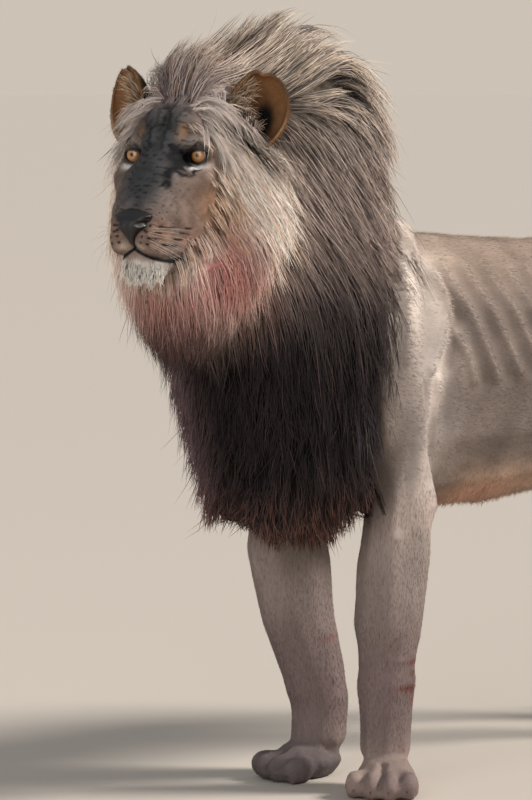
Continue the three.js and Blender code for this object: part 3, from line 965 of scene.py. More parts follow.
STRIPES = (
    Ridge(((54, 0, -8), (42, 0, -9), (34, 0, 2)), 9, 1.0, False),  # from the left eye's inner corner
    Ridge(((50, 0, -14), (42, 0, -24), (38, 0, -32)), 7, 0.95, False),
    Ridge(((35, 0, 6), (31, 0, 17)), 5, 0.9, False),
    Ridge(((41, 0, -44), (38, 0, -54)), 4, 0.8, False),
    Ridge(((50, 0, -30), (62, 0, -35), (78, 0, -28)), 3.5, 0.8, False),
    Ridge(((-48, 0, -4), (-37, 0, -12)), 5, 0.85, False),
    Ridge(((12, 0, 18), (16, 0, 52), (8, 0, 92)), 4, 0.62),
    Ridge(((26, 0, 46), (36, 0, 84)), 4.5, 0.5),
    Ridge(((0, 0, 34), (2, 0, 86)), 3.5, 0.4, False),
    Ridge(((58, 0, 20), (66, 0, 23), (80, 0, 14)), 2.5, 0.6),
    Ridge(((50, 0, -190), (59, 0, -187)), 6, 1.0),
    Ridge(((0, 0, -166), (16, 0, -176), (32, 0, -184), (48, 0, -190), (60, 0, -187)), 3.0, 0.95),
    Ridge(((0, 0, -140), (0, 0, -166)), 2.5, 0.9, False),
) + tuple(
    Ridge(((x, 0, -121 - 11 * row - 2.5 * k), (x + 1.5, 0, -121.5 - 11 * row - 2.5 * k)), 1.9, 0.8)
    for row in range(4)
    for k in range(5)
    for x in (21 + 11 * k + 3 * ((2 * row + k) % 3),)
)
EYE_MARKS = 6  # how many stripes lie about the eyes
LIP = 11  # the stripe along the lips
MARKINGS = Markings(body_patches=BODY_PATCHES, head_patches=HEAD_PATCHES, stripes=STRIPES)


# ---- Finishes ----


def wire(tree: NodeTree, made: Node, **values: object) -> Node:
    """Sets up a node; a key that names an input, or numbers it as in i0, sets or links that input.

    Args:
        tree: The tree that the node is in.
        made: The node.
        **values: Properties, input values, and sockets to link.

    Returns:
        The node.
    """
    for key, value in values.items():
        if hasattr(made, key):
            setattr(made, key, value)
            continue
        numbered = key[0] == "i" and key[1:].isdigit()
        target = made.inputs[int(key[1:]) if numbered else key.replace("_", " ")]
        if isinstance(value, NodeSocket):
            tree.links.new(value, target)
        else:
            target.default_value = value
    return made


def node(tree: NodeTree, kind: str, **values: object) -> Node:
    """A new node, set up as wire does."""
    return wire(tree, tree.nodes.new("ShaderNode" + kind), **values)


def reckoned(tree: NodeTree, operation: str, *values: object) -> NodeSocket:
    """The result of a sum on values or sockets."""
    return node(tree, "Math", operation=operation, **{f"i{k}": value for k, value in enumerate(values)}).outputs[0]


def scaled(tree: NodeTree, colour: object, by: object) -> NodeSocket:
    """A colour or vector times a value."""
    return node(tree, "VectorMath", operation="SCALE", i0=colour, Scale=by).outputs[0]


def lumps(tree: NodeTree, scale: float, detail: float, spread: float) -> NodeSocket:
    """A random shade about 1, for mottling.

    Args:
        tree: The material's tree.
        scale: How fine the lumps are.
        detail: How rough they are.
        spread: How far the shade varies.

    Returns:
        The shade.
    """
    place = node(tree, "TexCoord").outputs["Object"]
    grain = node(tree, "TexNoise", Vector=place, Scale=scale, Detail=detail).outputs["Fac"]
    return node(tree, "MapRange", i0=grain, i1=0.3, i2=0.7, i3=1 - spread, i4=1 + spread).outputs[0]


def blank(name: str) -> tuple[Material, NodeTree, Node]:
    """A new material, with its tree and its shader."""
    made = bpy.data.materials.new(name)
    made.use_nodes = True
    return made, made.node_tree, made.node_tree.nodes["Principled BSDF"]


def nap_group() -> NodeTree:
    """Short hair lying along the body: streaks as a shade and as a height."""
    tree = bpy.data.node_groups.new("short_nap", "ShaderNodeTree")
    for name, way in (("Scale", "INPUT"), ("Contrast", "INPUT"), ("Shade", "OUTPUT"), ("Height", "OUTPUT")):
        tree.interface.new_socket(name=name, in_out=way, socket_type="NodeSocketFloat")
    given = tree.nodes.new("NodeGroupInput").outputs
    grain = node(tree, "Attribute", attribute_name=NAP)
    sized = scaled(tree, grain.outputs["Vector"], given["Scale"])
    fine = node(tree, "TexNoise", Vector=sized, Scale=1.0, Detail=3.0, Roughness=0.6)
    broad = node(tree, "TexNoise", Vector=sized, Scale=0.16, Detail=2.0)
    both = reckoned(tree, "MULTIPLY_ADD", broad.outputs["Fac"], 0.5, fine.outputs["Fac"])
    centred = reckoned(tree, "SUBTRACT", both, 0.75)
    shade = reckoned(tree, "MULTIPLY_ADD", centred, given["Contrast"], 1.0)
    wire(tree, tree.nodes.new("NodeGroupOutput"), Shade=shade, Height=both)
    return tree


@dataclass(frozen=True)
class HairFinish:
    """Mesh hair: its roughness, how much its colour varies and how softly it shines."""

    name: str
    rough: float
    spread: float
    shine: float

    def material(self) -> Material:
        """The finish as a material."""
        made, tree, shader = blank(self.name)
        tint = node(tree, "Attribute", attribute_name=TINT)
        toned = scaled(tree, tint.outputs["Color"], lumps(tree, 90.0, 2.0, self.spread))
        wire(tree, shader, Base_Color=toned, Roughness=self.rough, Specular_IOR_Level=self.shine)
        return made


@dataclass(frozen=True)
class HideFinish:
    """The skin under and between the tufts, with the nap of the shortest hair."""

    name: str = "hide"
    scale: float = 1.0
    contrast: float = 0.45
    bump: float = 0.5

    def material(self) -> Material:
        """The finish as a material."""
        made, tree, shader = blank(self.name)
        tint = node(tree, "Attribute", attribute_name=TINT)
        nap = node(tree, "Group", node_tree=nap_group(), Scale=self.scale, Contrast=self.contrast)
        toned = scaled(tree, tint.outputs["Color"], nap.outputs["Shade"])
        raised = node(tree, "Bump", Height=nap.outputs["Height"], Strength=self.bump, Distance=1.5 * MM)
        wire(tree, shader, Base_Color=toned, Normal=raised.outputs[0], Roughness=0.8, Specular_IOR_Level=0.15)
        return made


# ---- Hair as solid mesh ----


@dataclass
class Bake:
    """Where points of a surface lie on an unwrap of that surface's own shape."""

    tree: BVHTree
    corners: Array
    places: Array

    @staticmethod
    def of(surface: Object, voxel: float) -> "Bake":
        """Unwraps a light copy of a surface.

        Args:
            surface: The mesh whose shape is unwrapped.
            voxel: Size of the copy's faces, in metres.

        Returns:
            The finished map.
        """
        light = surface.copy()
        light.data = surface.data.copy()
        show(light)
        apply_modifier(light, "REMESH", mode="VOXEL", voxel_size=voxel)
        apply_modifier(light, "TRIANGULATE")
        with editing():
            bpy.ops.uv.smart_project(angle_limit=math.radians(66), island_margin=0.004)
        mesh = light.data
        points, triangles = points_of(mesh), triangles_of(mesh)
        loops = fetched(mesh.loop_triangles, "loops", 3, np.int32)
        flat = fetched(mesh.uv_layers.active.uv, "vector", 2)
        made = Bake(tree_of(points, triangles), points[triangles], flat[loops])
        bpy.data.objects.remove(light)
        return made

    def at(self, points: Array) -> Array:
        """The place of each point on the unwrap."""
        spots, _, which, _ = nearest(self.tree, points)
        a, b, c = np.moveaxis(self.corners[which], 1, 0)
        ab, ac, ap = b - a, c - a, spots - a
        d = np.stack([np.sum(m * n, 1) for m, n in ((ab, ab), (ab, ac), (ac, ac), (ap, ab), (ap, ac))])
        base = np.maximum(d[0] * d[2] - d[1] ** 2, 1e-18)
        v = (d[2] * d[3] - d[1] * d[4]) / base
        w = (d[0] * d[4] - d[1] * d[3]) / base
        share = np.clip(np.stack([1 - v - w, v, w], 1), 0, 1)
        return np.einsum("nk,nkd->nd", share, self.places[which])


@dataclass
class Surface:
    """A mesh as arrays, that hair grows from."""

    points: Array
    triangles: Array
    normals: Array

    @staticmethod
    def of(thing: Object) -> "Surface":
        """The surface of an object."""
        return Surface(points_of(thing.data), triangles_of(thing.data), normals_of(thing.data))

    @property
    def centres(self) -> Array:
        """The middle of each triangle."""
        return self.points[self.triangles].mean(1)

    def tree(self) -> BVHTree:
        """A search tree over it."""
        return tree_of(self.points, self.triangles)

    def scatter(self, weight: Array, count: int, seed: int) -> tuple[Array, Array, Array]:
        """Random places on the surface.

        Args:
            weight: How many places each triangle draws for its area.
            count: How many places in all.
            seed: Picks the places.

        Returns:
            The places, the surface's normals there, and the number of the triangle that each lies on.
        """
        rng = default_rng(seed)
        a, b, c = (self.points[self.triangles[:, k]] for k in range(3))
        area = np.linalg.norm(np.cross(b - a, c - a), axis=1) * weight
        running = np.cumsum(area) / area.sum()
        which = np.searchsorted(running, (np.arange(count) + rng.uniform(size=count)) / count).clip(0, len(area) - 1)
        r, s = np.sqrt(rng.uniform(size=count)), rng.uniform(size=count)
        share = np.stack([1 - r, r * (1 - s), r * s], 1)
        chosen = self.triangles[which]
        return np.einsum("nk,nkd->nd", share, self.points[chosen]), unit(self.normals[chosen].mean(1)), which


def graded(tones: Array, shades: Sequence[float]) -> Array:
    """Display colours along each hair, from its tone and the shades from root to tip."""
    return np.clip(tones[:, None] * np.asarray(shades)[None, :, None], 0, 0.97)


@dataclass
class Hairs:
    """Closed three-sided tapering hairs.

    Attributes:
        paths: Points along each hair, from root to tip: hairs by points by 3.
        widths: Each hair's width at each point but the tip.
        out: Which way each hair faces.
        colours: Display colours at each point of each hair.
        patches: Each hair's place on the coat's map.
    """

    paths: Array
    widths: Array
    out: Array
    colours: Array
    patches: Array

    def mesh(self, name: str, thick: float = 0.5, soft: float = 0.5) -> Object:
        """All the hairs as one mesh, with its colours and its map.

        Args:
            name: The object's name.
            thick: Thickness as a share of width.
            soft: How far each hair is shaded as a part of the coat's surface, from 0 to 1.

        Returns:
            The new object.
        """
        hairs, steps = self.paths.shape[:2]
        along = unit(np.gradient(self.paths, axis=1))
        side = unit(np.cross(along, self.out[:, None, :]))
        over = np.cross(side, along)
        ring = ((side * 0.5, 0.0), (over * thick, 0.5), (side * -0.5, 1.0))
        body = np.stack([self.paths[:, :-1] + shift[:, :-1] * self.widths[:, :, None] for shift, _ in ring], 2)
        points = np.concatenate([body.reshape(hairs, -1, 3), self.paths[:, -1:]], 1)
        per = points.shape[1]
        faces = [(0, 2, 1)]
        for k in range(steps - 2):
            for j in range(3):
                a, b = 3 * k + j, 3 * k + (j + 1) % 3
                faces += [(a, b, b + 3), (a, b + 3, a + 3)]
        last = 3 * (steps - 2)
        faces += [(last + j, last + (j + 1) % 3, per - 1) for j in range(3)]
        outward = np.array(faces)[:, ::-1]
        triangles = (outward[None] + (np.arange(hairs) * per)[:, None, None]).reshape(-1, 3)
        thing = mesh_piece(name, points.reshape(-1, 3), triangles)
        tone = np.concatenate([np.repeat(self.colours[:, :-1], 3, 1), self.colours[:, -1:]], 1)
        paint(thing.data, tone.reshape(-1, 3))
        round_ = np.stack([side, over, -side], 2)[:, :-1].reshape(hairs, -1, 3)
        turned = np.concatenate([round_, along[:, -1:]], 1)
        shown = unit(turned * (1 - soft) + self.out[:, None] * soft)
        thing.data.normals_split_custom_set_from_vertices(shown.reshape(-1, 3))
        across = np.array([spot for _, spot in ring] * (steps - 1) + [0.5])
        up = np.append(np.repeat(np.linspace(0.2, 1, steps)[:-1], 3), 1.0)
        up[:-1] -= 0.15 * (np.arange(per - 1) % 3 == 1)
        local = np.stack([across, up], 1) * PATCH
        spots = np.clip(self.patches[:, None, :] + local[None] - PATCH / 2, 0, 1).reshape(-1, 2)
        store_map(thing.data, spots[triangles.ravel()])
        return thing

    def pieces(self, name: str, rows: Array, look: tuple[float, float], material: Material) -> None:
        """Some of the hairs, as pieces that are small enough.

        Args:
            name: Start of the pieces' names.
            rows: Which hairs, in the order in which they are shared out.
            look: How thick and how soft they are.
            material: Their material.
        """
        faces = len(rows) * (6 * self.paths.shape[1] - 8)
        parts = np.array_split(rows, max(1, math.ceil(faces / PIECE_LIMIT)))
        for k, chosen in enumerate(parts):
            part = Hairs(*(getattr(self, own.name)[chosen] for own in fields(self)))
            keep(part.mesh(f"{name}_{k + 1}", *look), material)


RUMP_BACK = 1060.0


def body_lie(points: Array) -> Array:
    """Which way the short coat lies at each point."""
    body, head = placed(points)
    _, y, z = body.T
    lie = np.tile((0.0, 0.96, -0.28), (len(points), 1))
    for way, share in (
        ((0.0, 0.12, -1.0), ease(z, 720, 560)),  # legs
        ((0.0, 0.1, -1.0), ease(y, -20, -140)),  # front of the chest
        ((0.0, 0.2, -1.0), ease(y, RUMP_BACK, RUMP_BACK + 60)),  # tail
        ((0.0, -0.7, -0.6), ease(z, 90, 50)),  # paws
    ):
        lie = mixed(lie, way, share)
    away = unit(head - np.array([0.0, -170.0, -96.0]))
    away[:, 2] -= 0.55 * ease(head[:, 2], -150, -200)
    return unit(mixed(lie, HEAD.bearing(away), ease(head[:, 1], 150, 100)))


@dataclass
class ShortCoat:
    """Short tufts that lie along the body, smallest on the face and feet."""

    skin: Object
    bake: Bake
    cover: Array  # for each skin vertex, 1 where the mane hides it
    trunk_tufts: int = 84000
    face_tufts: int = 32000
    sink: float = 0.34  # how deep a root lies, as a share of its tuft's width
    seed: int = 11

    def build(self) -> None:
        """Makes the tufts of the trunk and legs, and those of the face."""
        ground = Surface.of(self.skin)
        centres = ground.centres
        body, head = placed(centres)
        x, y, z = head.T
        face = (y < 75) & (z > -245) & (np.abs(x) < 140)
        eyes = sum(eye_opening(*eye_plane(head, side)) < 1.22 for side in (1, -1)).astype(bool) & (y < 20)
        nose = (np.abs(x) < 46) & (np.abs(z + 116) < 22) & (y < -128)
        lips = (STRIPES[LIP].reach(head * (1, 0, 1)) > 0.5) & (y < -30)
        sole = centres[:, 2] < 0.006
        bare = face | sole | (self.cover[ground.triangles].mean(1) > 0.5)
        trunk = np.where(bare, 0.0, 1.0) * (1 + 1.2 * ease(body[:, 2], 110, 60))
        self.layer("coat_body", ground, trunk, self.trunk_tufts, Slot.COAT, self.seed)
        snout = np.where(face & ~(eyes | nose | lips), 1.0, 0.0) * (1 + 0.8 * ease(y, -20, -80))
        self.layer("coat_face", ground, snout, self.face_tufts, Slot.FACE, self.seed + 1)

    def layer(self, name: str, ground: Surface, weight: Array, count: int, slot: Slot, seed: int) -> None:
        """Scatters one layer of tufts.

        Args:
            name: Start of the pieces' names.
            ground: The skin.
            weight: How many tufts each triangle draws.
            count: How many tufts in all.
            slot: The pieces' slot; not used.
            seed: Picks the tufts.
        """
        rng = default_rng(seed)
        roots, out, _ = ground.scatter(weight, count, seed)
        lie = body_lie(roots) + 0.13 * rng.normal(size=(count, 3))
        lie = unit(lie - np.sum(lie * out, 1)[:, None] * out)
        long, lift, width = self.sizes(roots, rng)
        rise = np.stack([-self.sink * width, lift], 1)
        paths = np.stack([roots, roots + lie * long[:, None]], 1) + out[:, None] * rise[:, :, None]
        paths[:, :, 2] = np.maximum(paths[:, :, 2], FLOOR_GAP)
        tone = MARKINGS.colour(roots + lie * (0.5 * long)[:, None]) * rng.uniform(0.88, 1.1, (count, 1))
        shown = lit_by_relief(roots, out)
        hairs = Hairs(paths, width[:, None], shown, graded(tone, (0.97, 1.03)), self.bake.at(roots))
        order = np.argsort(roots[:, 1], kind="stable")
        hairs.pieces(name, order, (0.12, 0.94), HairFinish(name, 0.7, 0.1, 0.2).material())

    def sizes(self, roots: Array, rng: Generator) -> tuple[Array, Array, Array]:
        """Each tuft's length, how far its tip stands off, and its width, in metres.

        Args:
            roots: Where the tufts grow.
            rng: The random source.

        Returns:
            Lengths, lifts and widths.
        """
        body, head = placed(roots)
        x, y, z = body.T
        count = len(roots)
        small = np.maximum(ease(z, 140, 60), ease(head[:, 1], 80, 0))
        belly = ease(z, 600, 540) * ease(y, 100, 200) * ease(y, 900, 700)
        spine = ease(np.abs(x), 40, 10) * ease(z, 1020, 1060)
        long = mixed(np.full(count, 15.0), np.full(count, 5.5), small) + 8 * belly + 5 * spine
        chin = np.exp(-np.sum(((head - (0, -90, -215)) / (60, 50, 24)) ** 2, 1))
        long = (long + 16 * chin) * rng.uniform(0.7, 1.25, count)
        lift = long * (0.085 + 0.07 * small + 0.12 * belly + 0.12 * spine + 0.22 * chin)
        width = mixed(np.full(count, 2.6), np.full(count, 1.3), small) * rng.uniform(0.8, 1.2, count)
        return long * MM, lift * MM, width * MM


# ---- The mane ----


def triangles_from(nodes: Sequence[str]) -> BVHTree:
    """A search tree over the faces of several nodes."""
    points, triangles, base = [], [], 0
    for name in nodes:
        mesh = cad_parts[name].data
        points.append(points_of(mesh))
        triangles.append(triangles_of(mesh) + base)
        base += len(points[-1])
    return tree_of(np.concatenate(points), np.concatenate(triangles))


def distance_to(tree: BVHTree, points: Array) -> Array:
    """Each point's distance to the nearest face of a tree."""
    return nearest(tree, points)[3]


def comb(points: Array) -> Array:
    """Which way the mane is combed at each point."""
    body, head = placed(points)
    _, y, z = body.T
    side = np.tanh(body[:, :1] / 60) * (1.0, 0, 0)
    lie = mixed((0, 0.5, -0.86) + 0.16 * side, (0, 0.02, -1.0) + 0.05 * side, ease(z, 1080, 900))
    lie = mixed(lie, (0, 0.4, -0.9) + 0.1 * side, 0.8 * (ease(y, -230, -90) * ease(z, 1000, 1150)))
    lie = mixed(lie, (0, 0.78, 0.62) + 0.25 * side, ease(z, 1290, 1370) * ease(y, -60, -260))
    x, y, z = head.T
    side = np.tanh(head[:, :1] / 50) * (1.0, 0, 0)
    ruff = mixed((0, 0.42, -0.86) + 0.3 * side, (0, 0.1, -0.75) + 0.7 * side, ease(z, 10, 60) * ease(y, 110, 80))
    parting = ease(z, 60, 105) * np.maximum(ease(np.abs(x), 62, 34), ease(y, 80, 110))
    ruff = mixed(ruff, (0, 0.9, 0.42) + 0.2 * side, parting)
    ruff = mixed(ruff, (0, 0.1, -1.0) + 0.1 * side, ease(z, -130, -210))
    return unit(mixed(lie, HEAD.bearing(ruff), ease(y, 150, 90) * ease(z, -330, -240)))


@dataclass(frozen=True)
class ManeTones:
    """The mane's colours from place, with a few strands of other tones in each lock, some of them darker as painted
    shade, and a painted sheen on the far side of the chest.
    """

    cream: Triple = (0.97, 0.89, 0.835)
    orange: Triple = (0.80, 0.60, 0.44)
    pink: Triple = (0.66, 0.40, 0.37)
    crown: Triple = (0.74, 0.66, 0.58)
    neck: Triple = (0.53, 0.46, 0.425)
    dark: Triple = (0.14, 0.115, 0.12)
    # painted sheen of sky light on the far side of the chest
    painted_sheen: Triple = (0.44, 0.355, 0.37)
    brown: Triple = (0.34, 0.26, 0.22)
    fringe: Triple = (0.54, 0.37, 0.32)

    def colour(self, points: Array, chance: Array) -> Array:
        """The colour of each root; chance picks its strand's tone.

        Args:
            points: Places in metres.
            chance: A random number from 0 to 1 for each.

        Returns:
            Display colours.
        """
        body, head = placed(points)
        count = len(points)
        x, _, z = body.T
        tone = np.tile(self.neck, (count, 1))
        tone = mixed(tone, self.crown, ease(z, 1190, 1370) * 0.95)
        tone = mixed(tone, self.dark, ease(z, 1030, 900))
        # painted sheen: the far side of the lower mane is lightened, as light from the sky
        tone = mixed(tone, self.painted_sheen, ease(x, 40, -110) * ease(z, 1000, 880))
        tone = mixed(tone, self.brown, 0.6 * ease(chance, 0.86, 0.97) * ease(z, 1060, 960))
        tone = mixed(tone, self.fringe, 0.7 * ease(z, 640, 530) * ease(chance, 0.2, 0.6))
        tone = mixed(tone, self.cream, ease(chance, 0.66, 0.95) * 0.6 * (1 - ease(z, 1060, 960)))
        # painted shade: a share of the upper strands is drawn darker, as shade between the locks
        tone = mixed(tone, np.array(self.dark) * 1.4, ease(chance, 0.34, 0.1) * 0.65 * ease(z, 900, 1000))
        _, y, z = head.T
        fray = 26 * (chance - 0.5)
        back = 50 * ease(z, 80, 20) * ease(z, -330, -230)
        pale = mixed(np.tile(self.cream, (count, 1)), self.orange, 0.75 * ease(chance, 0.25, 0.05))
        pale = mixed(pale, self.orange, Patch((102, 30, -96), (34, 60, 56), self.orange, 0.6, True, 3).cover(head))
        blush = Patch((120, 20, -232), (56, 130, 84), self.pink, 1.0, False, 3).cover(head)
        blush = np.maximum(blush, Patch((20, -10, -280), (110, 120, 66), self.pink, 0.95, False, 3).cover(head))
        pale = mixed(pale, self.pink, blush * (0.7 + 0.3 * ease(chance, 0.1, 0.4)))
        tone = mixed(tone, pale, ease(y - back + fray, 140, 104) * ease(z + 2 * fray, -385, -300))
        dark_front = Patch((-10, 70, 112), (74, 50, 36), self.dark, 0.9, False).cover(head)
        return mixed(tone, np.array(self.dark) * 1.9, dark_front)


TONES = ManeTones()
ZONES = (
    ("ruff", Slot.MANE_PALE),
    ("beard", Slot.MANE_PALE),
    ("crown", Slot.MANE_GREY),
    ("neck", Slot.MANE_GREY),
    ("chest", Slot.MANE_DARK),
    ("fringe", Slot.MANE_DARK),
)


@dataclass
class Mane:
    """The mane: a body of hair over the neck and chest, painted darker as shade deep in the hair, and the locks that
    lie on it.
    """

    seed: int = 31
    depth: float = 26.0
    locks: int = 2160
    strands: int = 16
    core: Object = field(init=False)
    share: Array = field(init=False)

    def build(self) -> None:
        """Makes the core and dresses it in locks."""
        self.core = union_of("mane_core", UNDER_MANE + MANE_NODES, 11 * MM)
        mesh = self.core.data
        points, edges = points_of(mesh), edges_of(mesh)
        points = relax(points, edges, np.ones(len(points)), 30)
        set_points(mesh, points)
        envelope = tree_of(points, triangles_of(mesh))
        inner = Surface.of(bpy.data.objects["hide"]).tree()
        on_mane = distance_to(triangles_from(MANE_NODES), points)
        on_flesh = distance_to(triangles_from(UNDER_MANE), points)
        self.share = ease(on_flesh - on_mane, 0.0, 6 * MM)
        normals = normals_of(mesh)
        points -= normals * (self.depth * MM)
        points += normals * (ripple(points, 0.03, 40) * 4 * MM)[:, None]
        points = relax(points, edges, np.ones(len(points)), 6, 0)
        for i, point in enumerate(points):
            spot, normal, _, _ = inner.find_nearest(Vector(point))
            over = (Vector(point) - spot).dot(normal)
            if over < 14 * MM * (1 - 0.8 * self.share[i]):
                points[i] = np.array(spot) - np.array(normal) * 16 * MM
        set_points(mesh, points)
        _, y, z = HEAD.inward(points).T
        # painted shade: the core is drawn darker than its locks away from the face, so that the gaps between locks
        # look shaded
        deep = 0.55 + 0.38 * (ease(y, 130, 90) * ease(z, -330, -240))[:, None]
        paint(mesh, TONES.colour(points, np.full(len(points), 0.5)) * deep)
        bake = Bake.of(self.core, 26 * MM)
        self.dress(Surface(points, triangles_of(mesh), normals_of(mesh)), bake, envelope)
        store_map(mesh, bake.at(points)[fetched(mesh.loops, "vertex_index", 1, np.int32).ravel()])
        keep(self.core, HairFinish("mane_core", 0.9, 0.3, 0.1).material())

    def dress(self, ground: Surface, bake: Bake, envelope: BVHTree) -> None:
        """Grows the locks over the core.

        Args:
            ground: The core's surface.
            bake: Its unwrap.
            envelope: The mane's outer form.
        """
        x, y, z = HEAD.inward(ground.centres).T
        temple = ease(y, 105, 85) * ease(z, 0, 40) * ease(np.abs(x), 24, 44)
        front = ease(y, 125, 105) * ease(z, -340, -300)
        weight = self.share[ground.triangles].mean(1) * (1 + 1.1 * front + 2 * temple) + 0.6 * temple * (y > 20)
        roots, out, _ = ground.scatter(weight, self.locks, self.seed)
        guides = march(ground.tree(), roots, out, lock_length(roots), lock_height(roots), 5)
        rng = default_rng(self.seed)
        guides = trimmed(guides, envelope, lock_overhang(roots, rng.uniform(size=len(roots))))
        low = np.repeat(ease(BODY.inward(roots)[:, 2], 760, 660), self.strands)
        paths, facing, spots = spread_locks(ragged(guides), out, self.strands, 17.0, 0.62 + 0.26 * low, rng)
        chance = rng.uniform(size=len(spots))
        paths = held(paths)
        body, head = placed(spots)
        front = ease(head[:, 1], 130, 100)[:, None]
        vary = 1 + rng.uniform(-0.2, 0.16, (len(spots), 1)) * (1 - 0.65 * front)
        tone, end = TONES.colour(spots, chance), TONES.colour(paths[:, -1], chance)
        crest = ease(body[:, 2], 1250, 1350)[:, None] * (1 - front)
        along = np.linspace(0, 1, paths.shape[1])[None]
        # painted shade at each strand's root, deepest on the crown, and painted light towards its tip; the face's
        # strands stay nearly even
        shade = (0.74 - 0.34 * crest + 0.24 * front + (0.4 + 0.44 * crest - 0.34 * front) * along) * vary
        blend = (tone[:, None] + (end - tone)[:, None] * along[:, :, None]) * shade[:, :, None]
        width = rng.uniform(1.1, 2.1, len(spots)) * (1 - 0.22 * front[:, 0]) * MM
        widths = width[:, None] * np.array([0.8, 1.0, 0.85, 0.6])
        hairs = Hairs(paths, widths, facing, np.clip(blend, 0, 0.97), bake.at(spots))
        face = head[:, 1] < 112
        where = [face & (head[:, 2] > -150), face & (head[:, 2] > -360)]
        where += [body[:, 2] > height for height in (1300, 1000, 720)]
        zone = np.select(where, range(5), 5)
        for number, (name, slot) in enumerate(ZONES):
            rows = np.flatnonzero(zone == number)
            rows = rows[np.argsort(spots[rows, 0], kind="stable")]
            material = HairFinish(f"mane_{name}", 0.6, 0.12, 0.2).material()
            hairs.pieces(f"mane_{name}", rows, (0.5, 0.75), material)


def ragged(guides: Array) -> Array:
    """Ends the lowest locks on an uneven hem, with a gap and a point at its right corner."""
    x, y, z = BODY.inward(guides[:, -1]).T
    across, top = 0.6428 * x + 0.766 * y, BODY.inward(guides[:, 0])[:, 2]
    hem = np.interp(across, (-290, -228, -180, -110, -40, 30), (500, 590, 496, 470, 478, 545))
    hem += 16 * np.sin(across / 11) * np.sin(across / 29)
    longest = 1 + 0.25 * np.exp(-(((across + 287) / 16) ** 2))
    scale = np.clip((top - hem) / np.maximum(top - z, 1), 0.3, longest)
    scale = 1 + (scale - 1) * ease(z, 690, 620)
    return guides[:, :1] + (guides - guides[:, :1]) * scale[:, None, None]


def held(paths: Array) -> Array:
    """Draws in the wildest strands so that the model keeps its size."""
    high = np.array(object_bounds()[1])
    made = paths.copy()
    for axis, slack in ((0, 30 * MM), (2, 50 * MM)):
        past = np.maximum(np.abs(made[:, :, axis]) - (high[axis] - 12 * MM), 0)
        made[:, :, axis] -= np.sign(made[:, :, axis]) * (past - slack * np.tanh(past / slack))
    return made


def lock_length(roots: Array) -> Array:
    """How long the lock at each root is, in metres."""
    body, head = placed(roots)
    long = np.full(len(roots), 150.0)
    long = mixed(long, 190.0, ease(body[:, 2], 1000, 850))
    long = mixed(long, 230.0, ease(body[:, 2], 720, 620))
    long = mixed(long, 150.0, ease(body[:, 2], 1290, 1380))
    return mixed(long, 105.0, ease(head[:, 1], 140, 100)) * MM


def lock_height(roots: Array) -> Array:
    """How far a lock's tip stands over the core, in metres."""
    body = BODY.inward(roots)
    return (24 + 26 * ease(body[:, 2], 1330, 1420)) * MM


def march(tree: BVHTree, roots: Array, out: Array, length: Array, height: Array, steps: int) -> Array:
    """Grows one path from each root, combed along the surface.

    Args:
        tree: The surface that the paths keep clear of.
        roots: Where the paths start.
        out: The surface's normal at each root.
        length: How long each path is.
        height: How far its tip stands over the surface.
        steps: Points on each path, the root included.

    Returns:
        The paths: roots by steps by 3.
    """
    places = roots.copy()
    heading = unit(out * 0.9 + comb(roots))
    paths = [places.copy()]
    for k in range(1, steps):
        share = k / (steps - 1)
        heading = unit(mixed(heading, comb(places), 0.55))
        places = places + heading * (length / (steps - 1))[:, None]
        for i, place in enumerate(places):
            spot, normal, _, far = tree.find_nearest(Vector(place))
            over = (Vector(place) - spot).dot(normal)
            want = height[i] * math.sqrt(share)
            if far < 0.09 and over < want:
                places[i] = np.array(spot) + np.array(normal) * (0.75 * want + 0.25 * max(over, 0))
            elif over > want + 0.012:
                places[i] = np.array(place) - np.array(normal) * 0.4 * (over - want - 0.012)
        paths.append(places.copy())
    return np.stack(paths, 1)


def lock_overhang(roots: Array, chance: Array) -> Array:
    """How far a lock's tip may pass the mane's form, in metres, with a random number for each lock."""
    body, head = placed(roots)
    wild = ease(body[:, 2], 1290, 1400)
    over = mixed(-4 + 14 * chance, 4 + 40 * chance, wild)
    over = mixed(over, 44 * chance - 44 + 30 * ripple(roots, 0.09, 44), ease(body[:, 2], 760, 640))
    return mixed(over, 30 + 20 * chance, ease(head[:, 1], 140, 100) * ease(head[:, 2], 60, 20)) * MM


def trimmed(paths: Array, envelope: BVHTree, overhang: Array) -> Array:
    """Shortens each path that leaves the mane's form.

    Args:
        paths: The paths, root first.
        envelope: The mane's form.
        overhang: How far past it each path may go.

    Returns:
        The paths, with as many points as before.
    """
    steps = paths.shape[1]
    made = paths.copy()
    fine = np.linspace(0, steps - 1, 4 * steps)
    for i, path in enumerate(paths):
        low = np.minimum(fine.astype(int), steps - 2)
        spots = path[low] + (path[low + 1] - path[low]) * (fine - low)[:, None]
        end = fine[-1]
        for t, spot in zip(fine[4:], spots[4:]):
            near, normal, _, _ = envelope.find_nearest(Vector(spot))
            if (Vector(spot) - near).dot(normal) > overhang[i]:
                end = t
                break
        if end < fine[-1]:
            where = np.linspace(0, max(end, 1.2), steps)
            low = np.minimum(where.astype(int), steps - 2)
            made[i] = path[low] + (path[low + 1] - path[low]) * (where - low)[:, None]
    return made


